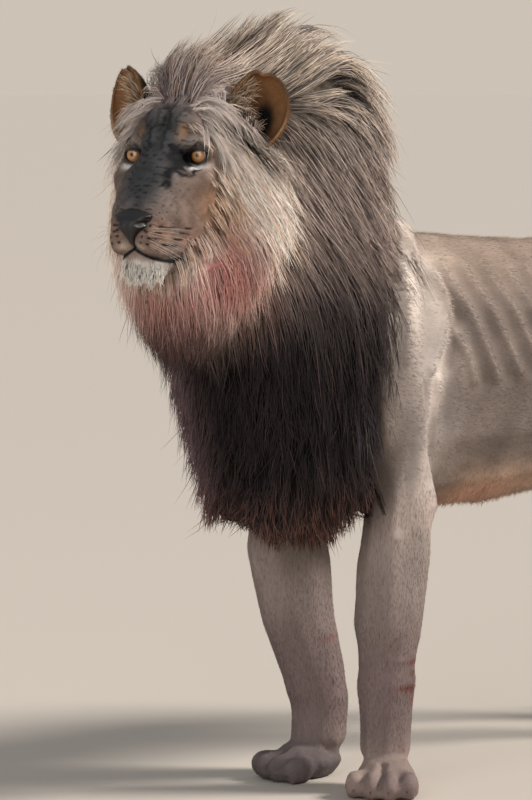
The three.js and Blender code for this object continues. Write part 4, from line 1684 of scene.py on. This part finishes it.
def spread_locks(
    guides: Array, out: Array, strands: int, radius: float, clump: float, rng: Generator, loose: float = 1.0
) -> tuple[Array, Array, Array]:
    """Strands about each guide path, drawn together towards its tip.

    Args:
        guides: The guide paths.
        out: The surface's normal at each guide's root.
        strands: How many strands to a guide.
        radius: How far from a guide its strands are rooted, in mm.
        clump: How far their tips draw in, from 0 to 1.
        rng: The random source.
        loose: How far they wave, bend and lie over each other.

    Returns:
        The strands' paths, which way each faces, and their roots.
    """
    count = len(guides) * strands
    paths = np.repeat(guides, strands, 0)
    facing = np.repeat(out, strands, 0)
    t = np.linspace(0, 1, guides.shape[1])
    first = unit(np.cross(facing, UP + 0.01 * rng.normal(size=(count, 3))))
    second = np.cross(facing, first)
    angle, reach = rng.uniform(0, 6.283, count), radius * np.sqrt(rng.uniform(0, 1, count))
    shift = first * (np.cos(angle) * reach)[:, None] + second * (np.sin(angle) * reach)[:, None]
    own = clump * rng.uniform(0.5, 1.3, count)
    draw = 1 - np.clip(own[:, None] * t[None] ** 0.8, 0, 1)
    deep = rng.uniform(-15, 3, count) * loose
    paths = paths + shift[:, None] * draw[:, :, None] * MM
    paths = paths + facing[:, None] * (deep[:, None] * (0.5 + 0.5 * t[None]))[:, :, None] * MM
    stray = rng.uniform(size=count) < 0.07
    bend = rng.normal(size=(count, 2)) * np.where(stray, 20, 6)[:, None] * loose
    turn = rng.uniform(0, 6.283, count)[:, None]
    wave = np.sin(t[None] * rng.uniform(3, 7, (count, 1)) + turn) - np.sin(turn)
    paths = paths + first[:, None] * (wave * 3.0 * loose + bend[:, :1] * t[None] ** 2)[:, :, None] * MM
    paths = paths + facing[:, None] * (bend[:, 1:] * 0.8 * t[None] ** 2)[:, :, None] * MM
    cut = rng.uniform(0.66, 1.12, count) * np.where(stray, 1.15, 1.0)
    paths = paths[:, :1] + (paths - paths[:, :1]) * (1 + (cut[:, None] - 1) * t[None])[:, :, None]
    return paths, facing, paths[:, 0].copy()


# ---- Hairline, eyes, nose, whiskers, claws, ears and tail ----


def tube(name: str, paths: Sequence[Array], radii: Sequence[Array], sides: int, closed: bool = False) -> Object:
    """Round tapering tubes along paths, joined into one mesh.

    Args:
        name: The object's name.
        paths: Each tube's middle points in metres.
        radii: Each tube's radius at those points.
        sides: Faces round each tube.
        closed: Whether each path is a loop.

    Returns:
        The new object.
    """
    points, faces, base = [], [], 0
    for path, radius in zip(paths, radii):
        steps = len(path)
        along = np.roll(path, -1, 0) - np.roll(path, 1, 0) if closed else np.gradient(path, axis=0)
        along = unit(along)
        steady = UP if abs(along[:, 2]).mean() < 0.8 else np.array([0.0, 1.0, 0.0])
        side = unit(np.cross(along, steady))
        over = np.cross(side, along)
        angles = np.arange(sides) * 2 * math.pi / sides
        ring = side[:, None] * np.cos(angles)[None, :, None] + over[:, None] * np.sin(angles)[None, :, None]
        points.append((path[:, None] + ring * radius[:, None, None]).reshape(-1, 3))
        for k in range(steps if closed else steps - 1):
            for j in range(sides):
                a, b = k * sides + j, k * sides + (j + 1) % sides
                c, d = (a + sides) % (steps * sides), (b + sides) % (steps * sides)
                faces += [(base + a, base + d, base + b), (base + a, base + c, base + d)]
        if not closed:
            for j in range(1, sides - 1):
                last = (steps - 1) * sides
                faces += [(base, base + j, base + j + 1), (base + last, base + last + j + 1, base + last + j)]
        base += steps * sides
    thing = mesh_piece(name, np.concatenate(points), np.array(faces))
    choose(thing)
    with editing():
        bpy.ops.mesh.normals_make_consistent(inside=False)
    return thing


@dataclass(frozen=True)
class Hairline:
    """Strands that grow longer from the face towards the mane, so that no edge shows between them."""

    locks: int = 560
    strands: int = 11
    reach: float = 62.0
    seed: int = 77

    def build(self, hide: Object, bake: Bake) -> None:
        """Makes the strands on the sides of the face and the forehead.

        Args:
            hide: The skin that they grow from.
            bake: The unwrap of the skin.
        """
        ground, mane = Surface.of(hide), triangles_from(MANE_NODES)
        centres = ground.centres
        x, y, z = HEAD.inward(centres).T
        near = (y > -60) & (y < 120) & (z > -260) & (np.abs(x) < 150)
        far = np.full(len(centres), 1.0)
        far[near] = distance_to(mane, centres[near]) / MM
        weight = np.where(near, ease(far, self.reach, 8), 0.0) * ease(z, 75, 30)
        weight += np.where(near, ease(far, 26, 6), 0.0) * ease(z, 40, 70)
        weight *= 1 - ease(np.hypot(np.abs(x) - EYE_OUT, z), 38, 30)
        roots, out, _ = ground.scatter(weight, self.locks, self.seed)
        close = ease(distance_to(mane, roots) / MM, self.reach, 4)
        tree = ground.tree()
        rng = default_rng(self.seed)
        long = (12 + 62 * close**1.6) * rng.uniform(0.8, 1.2, len(roots)) * MM
        guides = march(tree, roots, out, long, (2.5 + 11 * close) * MM, 4)
        paths, facing, spots = spread_locks(guides, out, self.strands, 8.0, 0.5, rng, 0.35)
        chance = rng.uniform(size=len(spots))
        blend = np.repeat(close, self.strands)
        pale = TONES.colour(HEAD.outward(HEAD.inward(spots) * (1, 0, 1) + (0, 80, 0)), chance)
        tone = mixed(MARKINGS.colour(spots), pale, 0.25 + 0.75 * blend) * rng.uniform(0.85, 1.12, (len(spots), 1))
        colours = graded(tone, np.linspace(0.85, 1.12, 4))
        hairs = Hairs(paths, fine_widths(spots, rng), facing, colours, bake.at(spots))
        keep(hairs.mesh("hairline", 0.4, 0.7), HairFinish("hairline", 0.6, 0.12, 0.25).material())
        tops = Surface.of(bpy.data.objects["mane_core"]).tree()
        for tuft, under in zip(TUFTS, (tree, tops, tree)):
            tuft.build(under, bake)


def fine_widths(roots: Array, rng: Generator) -> Array:
    """The widths of fine hairs of four points."""
    return rng.uniform(0.9, 1.6, (len(roots), 1)) * MM * np.array([0.9, 1.0, 0.7])


@dataclass(frozen=True)
class Tuft:
    """A hanging tuft on each side of the head.

    Attributes:
        name: The piece's name.
        at: Where it grows, in the head's frame.
        spread: How wide its roots spread.
        way: Which way it hangs.
        long: Its shortest and longest locks, in mm.
        fall: How far they bend down.
        tone: Its colour.
    """

    name: str
    at: Triple
    spread: Triple
    way: Triple
    long: tuple[float, float]
    fall: float
    tone: Triple
    locks: int = 120
    seed: int = 77

    def build(self, tree: BVHTree, bake: Bake) -> None:
        """Makes the tuft.

        Args:
            tree: The surface that it grows from.
            bake: The unwrap of the skin.
        """
        rng = default_rng(self.seed + len(self.name))
        side = np.where(np.arange(self.locks) % 2, 1.0, -1.0)[:, None] * (1, 0, 0) + (0, 1, 1)
        near = HEAD.outward((np.array(self.at) + rng.uniform(-1, 1, (self.locks, 3)) * np.array(self.spread)) * side)
        roots, out, _, _ = nearest(tree, near)
        far = rng.uniform(*self.long, (self.locks, 1, 1)) * MM
        t = np.linspace(0, 1, 4)[None, :, None]
        heading = HEAD.bearing(unit(np.array(self.way) + 0.22 * rng.normal(size=(self.locks, 3))) * side)[:, None]
        guides = roots[:, None] + heading * far * t + out[:, None] * 0.2 * far * np.sin(t * 2.2)
        guides[:, :, 2] -= self.fall * (far * t**2)[:, :, 0]
        out = unit(out + UP * 0.8 + HEAD.bearing(np.array([0, -0.5, 0])))
        paths, facing, spots = spread_locks(guides, out, 10, 7.0, 0.6, rng, 0.4)
        tones = np.array(self.tone) * rng.uniform(0.8, 1.02, (len(spots), 1))
        colours = graded(tones, np.linspace(0.84, 1.03, 4))
        hairs = Hairs(paths, fine_widths(spots, rng), facing, colours, bake.at(spots))
        keep(hairs.mesh(self.name, 0.4, 0.7), HairFinish(self.name, 0.6, 0.08, 0.25).material())


TUFTS = (
    Tuft("temple_hair", (106, 46, 62), (26, 30, 16), (0.5, 0.1, -1.0), (62, 96), 0.12, TONES.cream),
    Tuft("brow_hair", (66, 54, 92), (40, 26, 14), (0.9, 0.0, -0.1), (60, 96), 0.55, TONES.cream),
    Tuft("chin_hair", (4, -100, -203), (38, 18, 12), (0.0, -0.1, -1.0), (6, 25), 0.1, (1.0, 0.96, 0.91)),
)


@dataclass(frozen=True)
class WetFinish:
    """A smooth moist or horny surface of one colour, lightly mottled."""

    name: str
    colour: Triple
    rough: float
    coat: float = 0.0
    mottle: float = 0.15
    scale: float = 400.0
    bump: float = 0.3

    def material(self) -> Material:
        """The finish as a material."""
        made, tree, shader = blank(self.name)
        place = node(tree, "TexCoord").outputs["Object"]
        cells = node(tree, "TexVoronoi", Vector=place, Scale=self.scale * 1.6)
        toned = scaled(tree, tuple(linear(self.colour)), lumps(tree, self.scale, 3.0, self.mottle))
        raised = node(tree, "Bump", Height=cells.outputs["Distance"], Strength=self.bump, Distance=0.6 * MM)
        wire(tree, shader, Base_Color=toned, Normal=raised.outputs[0], Roughness=self.rough)
        wire(tree, shader, Coat_Weight=self.coat, Coat_Roughness=0.08)
        return made


@dataclass(frozen=True)
class IrisFinish:
    """An amber eye: pupil, rayed iris with a dark rim, and the brown white of the eye."""

    rim: float = 0.72  # the iris's edge, as a share of the eyeball's radius
    pupil: float = 0.12
    inner: Triple = (0.74, 0.53, 0.31)
    outer: Triple = (0.54, 0.36, 0.20)
    edge: Triple = (0.10, 0.06, 0.04)

    def material(self) -> Material:
        """The finish as a material."""
        made, tree, shader = blank("eye")
        polar = node(tree, "Attribute", attribute_name=IRIS).outputs["Vector"]
        parts = node(tree, "SeparateXYZ", Vector=polar)
        rays = node(tree, "TexNoise", Vector=polar, Scale=9.0, Detail=4.0).outputs["Fac"]
        ramp = node(tree, "ValToRGB", Fac=reckoned(tree, "MULTIPLY_ADD", rays, 0.05, parts.outputs["Z"]))
        stops = ramp.color_ramp.elements
        black = (0.004, 0.004, 0.004, 1)
        table = (
            (0.0, black),
            (self.pupil + 0.02, black),
            (self.pupil + 0.05, (*linear(self.outer), 1)),
            (self.pupil + 0.13, (*linear(self.inner), 1)),
            (self.rim - 0.12, (*linear(self.outer), 1)),
            (self.rim - 0.02, (*linear(self.edge), 1)),
            (self.rim + 0.1, (*linear((0.16, 0.10, 0.08)), 1)),
        )
        while len(stops) < len(table):
            stops.new(0.5)
        for stop, (where, colour) in zip(stops, table):
            stop.position, stop.color = where, colour
        streak = node(tree, "MapRange", i0=rays, i1=0.3, i2=0.7, i3=0.75, i4=1.2)
        toned = scaled(tree, ramp.outputs["Color"], streak.outputs[0])
        wire(tree, shader, Base_Color=toned, Roughness=0.25, Coat_Weight=1.0, Coat_Roughness=0.02)
        return made


@dataclass(frozen=True)
class Eyes:
    """Both eyeballs, each with the dark rims of its lids."""

    look: Triple = (0.05, -1.0, 0.02)
    rim: float = 1.3

    def build(self) -> None:
        """Makes the eyeballs and their rims."""
        iris = IrisFinish().material()
        dark = WetFinish("lid_rim", (0.075, 0.06, 0.06), 0.35, 0.4).material()
        for side, name in ((1, "left"), (-1, "right")):
            self.ball(side, f"eyeball_{name}", iris)
            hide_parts(f"eye_{name}")
            self.lids(side, f"lid_rim_{name}", dark)

    def ball(self, side: int, name: str, material: Material) -> None:
        """An eyeball with its cornea, turned to its gaze.

        Args:
            side: 1 for the left, -1 for the right.
            name: The piece's name.
            material: Its finish.
        """
        thing = sphere(name, 56, 44)
        own = points_of(thing.data)
        reach = np.hypot(own[:, 0], own[:, 1])
        front = own[:, 2] > 0
        angle = np.arctan2(own[:, 1], own[:, 0])
        spread = np.where(front, reach, 1.2)
        store_vector(thing.data, IRIS, np.stack([np.cos(angle), np.sin(angle), spread], 1))
        bulge = 1 + 0.055 * ease(reach, 0.72, 0.3) * front
        gaze = unit(np.array(self.look) * (side, 1, 1))
        across = unit(np.cross(gaze, UP))
        turned = own[:, :1] * across + own[:, 1:2] * np.cross(across, gaze) + own[:, 2:] * gaze
        centre = np.array([side * EYE_OUT, EYE_DEEP, 0.0])
        set_points(thing.data, HEAD.outward(centre + turned * (EYE_R * bulge)[:, None]))
        keep(thing, material)

    def lids(self, side: int, name: str, material: Material) -> None:
        """The bare dark rim round the opening between the lids.

        Args:
            side: 1 for the left, -1 for the right.
            name: The piece's name.
            material: Its finish.
        """
        angle = np.linspace(0, 2 * math.pi, 72, endpoint=False)
        u, v = np.cos(angle), np.sin(angle)
        scale = 1.0 / eye_opening(u, v)
        u, v = u * scale, v * scale
        c, s = math.cos(EYE_SLANT), math.sin(EYE_SLANT)
        out, up = u * c - v * s, u * s + v * c
        deep = EYE_DEEP - np.sqrt(np.maximum((EYE_R + 2.2) ** 2 - u * u - v * v, 9))
        path = HEAD.outward(np.stack([side * (out + EYE_OUT), deep, up], 1))
        radius = (self.rim + 0.9 * ease(u, -10, -20) + 0.5 * ease(v, 4, 12)) * MM
        keep(tube(name, [path], [radius], 10, True), material)


@dataclass(frozen=True)
class NosePad:
    """The bare nose: broad above, with comma-shaped nostrils, narrowing to the parting of the lip."""

    falls: tuple[float, ...] = (94, 99, 106, 114, 124, 134, 146, 161)  # below the eyes
    halves: tuple[float, ...] = (27, 42, 48, 44, 31, 17, 9, 5)
    fronts: tuple[float, ...] = (-136, -145, -153, -158, -159, -156, -150, -144)

    def build(self) -> None:
        """Makes the nose."""
        thing = sphere("nose", 96, 72)
        own = points_of(thing.data)
        polar = np.arccos(np.clip(own[:, 2], -1, 1)) / math.pi
        z = -93.5 - 68 * polar
        round_ = np.maximum(np.hypot(own[:, 0], own[:, 1]), 1e-6)
        c, s = own[:, 0] / round_, own[:, 1] / round_
        cap = np.minimum(1, np.sin(polar * math.pi) ** 0.35)
        half = np.interp(-z, self.falls, self.halves) * cap
        front = np.interp(-z, self.falls, self.fronts)
        x = np.sign(c) * np.abs(c) ** 0.8 * half
        deep = (-126 - front) * cap
        y = -126 + np.where(s < 0, -(np.abs(s) ** 0.6) * deep, s * 8) + 5 * (x / 43) ** 2
        places = np.stack([x, y, z], 1)
        facing = s < 0
        for side in (1, -1):
            for at, size, push in (
                ((24, -121), (7.5, 5.5), 9.0),
                ((33, -117), (9.0, 7.5), 15.0),
                ((42, -110), (6.0, 5.0), 9.0),
            ):
                gap = ((places[:, 0] - side * at[0]) / size[0]) ** 2 + ((places[:, 2] - at[1]) / size[1]) ** 2
                places[:, 1] += push * np.exp(-gap * gap) * facing
        places[:, 1] += 2.5 * np.exp(-((places[:, 0] / 2.2) ** 2)) * facing * ease(places[:, 2], -112, -128)
        set_points(thing.data, HEAD.outward(places))
        keep(thing, WetFinish("nose", (0.07, 0.055, 0.058), 0.45, 0.1, 0.3, 500, 0.8).material())
        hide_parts("nose_pad")


@dataclass(frozen=True)
class Whiskers:
    """Long pale whiskers from the pads beside the nose."""

    rows: int = 4
    across: int = 3
    seed: int = 5

    def build(self) -> None:
        """Makes the whiskers."""
        rng = default_rng(self.seed)
        tree = Surface.of(bpy.data.objects["hide"]).tree()
        paths, radii = [], []
        t = np.linspace(0, 1, 10)[:, None]
        for side in (1, -1):
            for row in range(self.rows):
                for k in range(self.across):
                    root = np.array([side * (26 + 9 * k), -150 + 12 * k, -127 - 9 * row - 1.5 * k])
                    spot = np.array(tree.find_nearest(Vector(HEAD.outward(root)))[0])
                    long = rng.uniform(50, 105)
                    way = unit(np.array([side * (0.75 - 0.06 * k), 0.25 + 0.12 * k, 0.06 - 0.14 * row]))
                    sag = np.array([-side * 0.25, 0.5, -0.35])
                    path = way * t * long + sag * (t**2) * long * rng.uniform(0.3, 0.7)
                    paths.append(spot + HEAD.bearing(path) * MM)
                    radii.append(np.linspace(0.3, 0.1, 10) * MM)
        finish = WetFinish("whisker", (0.74, 0.71, 0.68), 0.45, 0.0, 0.05)
        keep(tube("whiskers", paths, radii, 5), finish.material())


@dataclass(frozen=True)
class Paw:
    """One paw's frame and size, in mm."""

    name: str
    at: tuple[float, float]
    turn: float
    half: float
    long: float

    @property
    def place(self) -> Place:
        """The paw's own frame, on the floor."""
        return Place(BODY.outward(np.array([*self.at, 0.0])), self.turn)

    def toes(self) -> list[Triple]:
        """The middle of each toe."""
        return [
            (k * self.half * 0.5, -self.long * (0.38 if abs(k) < 1 else 0.3), 24.0) for k in (-1.5, -0.5, 0.5, 1.5)
        ]


def fore_paw(name: str, side: int, turn: float) -> Paw:
    """A fore paw, set ahead of its wrist along its own heading."""
    return Paw(name, (side * 99 + 40 * math.sin(turn), 6 - 40 * math.cos(turn)), turn, 69, 190)


PAWS = (
    fore_paw("fore_left", 1, 0.72),
    fore_paw("fore_right", -1, -0.05),
    Paw("hind_left", (112, 858), 0.12, 62, 172),
    Paw("hind_right", (-112, 928), -0.12, 62, 172),
)


@dataclass(frozen=True)
class Claws:
    """The claws, mostly drawn back into the toes."""

    def build(self) -> None:
        """Makes the claws."""
        paths, radii = [], []
        t = np.linspace(0, 1, 8)[:, None]
        for paw in PAWS:
            for x, y, z in paw.toes():
                start = np.array([x, y - paw.long * 0.12, z + 1])
                path = start + t * np.array([0, -13.0, 0]) - t**2 * np.array([0, 0, 10.0])
                paths.append(paw.place.outward(path))
                radii.append(np.interp(t[:, 0], [0, 0.6, 1], [3.0, 2.3, 0.4]) * MM)
        finish = WetFinish("claw", (0.27, 0.22, 0.18), 0.35, 0.2, 0.3, 200)
        keep(tube("claws", paths, radii, 8), finish.material())


@dataclass(frozen=True)
class Ear:
    """A round ear: a thick-edged cup with a torn rim, furred behind and along its edge."""

    name: str
    side: int
    size: Triple = (58, 36, 76)
    gold: Triple = (0.49, 0.34, 0.215)
    rim: Triple = (0.72, 0.60, 0.47)
    back: Triple = (0.28, 0.22, 0.18)
    # painted shade in the cup's hollow
    dark: Triple = (0.045, 0.03, 0.028)
    tufts: int = 5200
    long_hairs: int = 1000

    def frame_of(self, own: Array) -> Array:
        """Places of the ear's own frame, in mm, as points in metres."""
        middle = HEAD.inward(middle_of(f"ear_{self.name}")[None])[0] - (0, 0, 4)
        c, s = math.cos(self.side * 0.3), math.sin(self.side * 0.3)
        tipped = own @ np.array([[c, 0, -s], [0, 1, 0], [s, 0, c]])
        c, s = math.cos(self.side * 0.5), math.sin(self.side * 0.5)
        turned = tipped @ np.array([[c, s, 0], [-s, c, 0], [0, 0, 1]])
        return HEAD.outward(turned + middle)

    def build(self) -> None:
        """Makes the ear and its fur."""
        thing = sphere(f"ear_cup_{self.name}", 64, 40)
        own = points_of(thing.data)[:, [0, 2, 1]] * (1, 1, -1)
        set_points(thing.data, own)
        with editing():
            bpy.ops.mesh.bisect(plane_co=(0, -0.12, 0), plane_no=(0, -1, 0.18), clear_outer=True)
        settle(thing.data)
        own = points_of(thing.data)
        angle = np.arctan2(own[:, 2], own[:, 0] * self.side)
        edge = ease(own[:, 1], 0.5, 0.0)
        own[:, 0] *= 1 - 0.1 * edge * ease(own[:, 2], 0.2, -0.9)
        notch = np.exp(-(((angle - 1.75) / 0.1) ** 2)) * edge
        peak = np.exp(-(((angle - 2.05) / 0.3) ** 2)) * edge
        shrink = 1 - 0.1 * notch + 0.07 * peak - 0.02 * edge * ripple(own, 0.5, 8)
        own *= shrink[:, None]
        own[:, 1] += 0.12 * edge * np.sin(angle * 2)
        set_points(thing.data, own * self.size * MM)
        apply_modifier(thing, "SOLIDIFY", thickness=5 * MM, offset=-1.0)
        apply_modifier(thing, "SUBSURF", levels=1, render_levels=1)
        own = points_of(thing.data) / MM
        set_points(thing.data, self.frame_of(own))
        inner = self.inner(own)
        paint(thing.data, self.colour(own, inner))
        keep(thing, HairFinish(f"ear_{self.name}", 0.8, 0.12, 0.15).material())
        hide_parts(f"ear_{self.name}")
        self.fur(thing, own, inner)

    def inner(self, own: Array) -> Array:
        """How far inside the cup each place is, from 0 to 1."""
        return ease(np.linalg.norm(own / self.size, axis=1), 0.97, 0.92)

    def colour(self, own: Array, inner: Array) -> Array:
        """The ear's display colours."""
        x, y, z = own.T
        tone = mixed(np.tile(self.gold, (len(own), 1)), self.back, (1 - inner) * ease(y, -8, 10))
        tone = mixed(tone, self.rim, 0.7 * (inner * ease(y, 2, -6)))
        # painted shade: the hollow low in the cup is darkened
        depth = np.exp(-((((x * self.side - 16) / 17) ** 2 + ((z + 14) / 32) ** 2) ** 1.5))
        return mixed(tone, self.dark, np.clip(inner * depth * 1.3 * ease(y, -8, 8), 0, 1))

    def fur(self, thing: Object, own: Array, inner: Array) -> None:
        """Short fur behind, on the edge and in the opening.

        Args:
            thing: The ear's cup.
            own: Its vertices in the ear's own frame, in mm.
            inner: How far inside the cup each vertex is.
        """
        ground, bake = Surface.of(thing), Bake.of(thing, 4 * MM)
        rng = default_rng(60 + self.side)
        middles, deep = own[ground.triangles].mean(1), inner[ground.triangles].mean(1)
        weight = np.where(deep > 0.5, 0.6, 1.0) * ease(middles[:, 2], -62, -40)
        roots, out, which = ground.scatter(weight + 1e-6, self.tufts, 70 + self.side)
        spot = middles[which]
        way = unit(self.frame_of(spot * 1.12) - self.frame_of(spot))
        lie = unit(way + 0.2 * rng.normal(size=way.shape))
        lie = unit(lie - 0.8 * np.sum(lie * out, 1)[:, None] * out)
        long = rng.uniform(4, 7, len(roots)) * MM
        paths = roots[:, None] + lie[:, None] * (long[:, None] * (-0.1, 1.0))[:, :, None]
        widths = np.full((len(roots), 1), 1.2 * MM)
        tone = self.colour(spot, deep[which]) * rng.uniform(0.85, 1.15, (len(roots), 1))
        material = HairFinish(f"ear_fur_{self.name}", 0.7, 0.15, 0.2).material()
        hairs = Hairs(paths, widths, out, graded(tone, (0.95, 1.05)), bake.at(roots))
        keep(hairs.mesh(f"ear_fur_{self.name}", 0.3, 0.8), material)
        self.fringe(bake, rng, material)

    def fringe(self, bake: Bake, rng: Generator, material: Material) -> None:
        """Long pale hair before the opening.

        Args:
            bake: The unwrap of the cup.
            rng: The random source.
            material: The fur's finish.
        """
        count = self.long_hairs
        angle, reach = rng.uniform(2.4, 4.9, count), rng.uniform(0.5, 1.0, count)
        start = np.stack(
            [np.cos(angle) * 54 * self.side * reach, rng.uniform(-10, 8, count), np.sin(angle) * 66 * reach], 1
        )
        way = np.stack([rng.uniform(low, high, count) for low, high in ((0.0, 0.45), (-0.5, -0.1), (0.3, 1.0))], 1)
        way[:, 0] *= self.side
        long = rng.uniform(20, 48, count)
        t = np.linspace(0, 1, 5)
        curve = start[:, None] + unit(way)[:, None] * (long[:, None] * t)[:, :, None]
        curve[:, :, 2] -= t**2 * 10
        paths = self.frame_of(curve.reshape(-1, 3)).reshape(count, 5, 3)
        widths = rng.uniform(1.0, 1.6, (count, 1)) * MM * np.array([1, 0.9, 0.7, 0.4])
        tone = np.where(rng.uniform(size=(count, 1)) < 0.45, [(0.80, 0.71, 0.61)], [(0.56, 0.41, 0.29)])
        out = np.tile(HEAD.bearing(np.array([0, -1.0, 0])), (count, 1))
        hairs = Hairs(paths, widths, out, graded(tone, np.linspace(0.75, 1.1, 5)), bake.at(paths[:, 0]))
        keep(hairs.mesh(f"ear_fringe_{self.name}"), material)


@dataclass(frozen=True)
class TailTuft:
    """The dark tuft at the end of the tail."""

    strands: int = 1300
    seed: int = 90

    def build(self, bake: Bake) -> None:
        """Makes the tuft over the end of the tail."""
        rng = default_rng(self.seed)
        low, high = (np.array(v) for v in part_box("tail_tuft"))
        count = self.strands
        share = rng.uniform(0, 1, count)
        top = np.array([(low[0] + high[0]) / 2 + 0.012, low[1] + 0.03, high[2] + 0.02])
        end = np.array([(low[0] + high[0]) / 2 - 0.008, high[1] - 0.045, low[2] + 0.05])
        angle = rng.uniform(0, 2 * math.pi, count)
        out = unit(np.stack([np.cos(angle), np.sin(angle), np.full(count, -0.1)], 1))
        roots = top + (end - top) * (share * 0.75)[:, None] + out * 0.01
        t = np.linspace(0, 1, 6)
        long = (end - top) * rng.uniform(0.3, 0.62, (count, 1)) + UP * -0.012
        swell = np.sin(np.clip(share[:, None] + t[None] * 0.4, 0, 1) * math.pi) * 0.03
        paths = roots[:, None] + long[:, None] * t[None, :, None]
        paths += out[:, None] * (swell * np.sqrt(t))[:, :, None]
        paths[:, :, 2] = np.maximum(paths[:, :, 2], low[2] + 4 * MM)
        widths = rng.uniform(1.6, 2.8, (count, 1)) * MM * np.array([0.8, 1, 0.9, 0.7, 0.45])
        tone = np.array((0.15, 0.12, 0.105)) * rng.uniform(0.7, 1.5, (count, 1))
        hairs = Hairs(paths, widths, out, graded(tone, np.linspace(0.8, 1.2, 6)), bake.at(roots))
        piece = hairs.mesh("tail_tuft_hair")
        keep(piece, HairFinish(piece.name, 0.55, 0.15, 0.3).material())
        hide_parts("tail_tuft")


# ---- The studio ----


class LampKind(str, Enum):
    """How a lamp shines."""

    SUN = "SUN"
    AREA = "AREA"


@dataclass(frozen=True)
class Lamp:
    """A soft lamp: its kind, where it hangs, what it faces, how wide it is and how strong."""

    name: str
    kind: LampKind
    at: Triple
    aim: Triple
    size: float
    power: float
    colour: Triple = (1.0, 1.0, 1.0)

    def hang(self) -> None:
        """Adds the lamp."""
        data = bpy.data.lights.new(self.name, self.kind.value)
        data.energy, data.color = self.power, self.colour
        if self.kind is LampKind.SUN:
            data.angle = self.size
        else:
            data.size = self.size
        thing = bpy.data.objects.new(self.name, data)
        show(thing)
        thing.location = self.at
        thing.rotation_euler = (Vector(self.aim) - Vector(self.at)).to_track_quat("-Z", "Y").to_euler()


@dataclass(frozen=True)
class Studio:
    """A plain pale floor, soft light and the camera."""

    sight: float = math.radians(50)
    tilt: float = math.radians(4.88652)
    lens: float = 163.17
    sensor: float = 36.0
    eye: Triple = (5.3062, -4.6751, 1.36)  # from the body's frame
    pale: Triple = (0.802, 0.761, 0.711)  # the backdrop, as light as the far floor
    ground: Triple = (0.80, 0.76, 0.71)
    sky: Triple = (0.79, 0.80, 0.82)
    lamps: tuple[Lamp, ...] = (
        Lamp("key", LampKind.SUN, (5.0, 5.6, 6.6), (0, 0, 0.9), 0.26, 3.6, (1.0, 0.96, 0.91)),
        Lamp("fill", LampKind.AREA, (3.2, -7.0, 3.2), (0, -0.4, 0.9), 5.0, 185, (0.98, 0.99, 1.0)),
    )

    def build(self) -> None:
        """Lays the floor, hangs the lamps and sets up the camera."""
        deselect()
        bpy.ops.mesh.primitive_circle_add(vertices=96, radius=900, fill_type="NGON", location=(0, 0, 0))
        floor = bpy.context.active_object
        floor.name = "floor"
        material, tree, shader = blank("floor")
        wire(tree, shader, Base_Color=(*linear(self.ground), 1), Roughness=0.9)
        floor.data.materials.append(material)
        floor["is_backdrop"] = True
        for lamp in self.lamps:
            lamp.hang()
        world = bpy.data.worlds.new("studio")
        world.use_nodes = True
        tree = world.node_tree
        around = wire(tree, tree.nodes["Background"], Color=(*linear(self.sky), 1), Strength=0.52)
        backdrop = node(tree, "Background", Color=(*linear(self.pale), 1))
        seen = node(tree, "LightPath").outputs["Is Camera Ray"]
        both = node(tree, "MixShader", i0=seen, i1=around.outputs[0], i2=backdrop.outputs[0])
        wire(tree, tree.nodes["World Output"], Surface=both.outputs[0])
        scene = bpy.context.scene
        scene.world = world
        scene.view_settings.view_transform = "Standard"
        data = bpy.data.cameras.new("camera")
        data.lens, data.sensor_width, data.clip_end = self.lens, self.sensor, 2000
        camera = bpy.data.objects.new("camera", data)
        show(camera)
        camera.location = np.array(self.eye) + BODY.origin
        camera.rotation_euler = (math.pi / 2 - self.tilt, 0, self.sight)
        scene.camera = camera


def main() -> None:
    """Builds the lion piece by piece."""
    logging.basicConfig(level=logging.INFO, format="%(message)s")
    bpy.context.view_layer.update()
    skin = Hide(MUSCLES, RIDGES + RIBS + GAPS, FEATURES, FOLDS).build()
    points = points_of(skin.data)
    paint(skin.data, MARKINGS.colour(points))
    body = BODY.inward(points)
    leg = ease(body[:, 2], 700, 560)
    store_vector(skin.data, NAP, mixed(body * (1, 0.16, 1), body * (1, 1, 0.16), leg) / 2.6)
    cover = ease(distance_to(triangles_from(MANE_NODES), points), 16 * MM, 11 * MM)
    bake = Bake.of(skin, 22 * MM)
    keep(skin, HideFinish().material())
    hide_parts(*FLESH)
    ShortCoat(skin, bake, cover).build()
    mane = Mane()
    mane.build()
    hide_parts(*MANE_NODES)
    Hairline().build(skin, bake)
    Eyes().build()
    NosePad().build()
    Whiskers().build()
    Claws().build()
    for name, side in (("left", 1), ("right", -1)):
        Ear(name, side).build()
    TailTuft().build(bake)
    Studio().build()


if __name__ == "__main__":
    main()
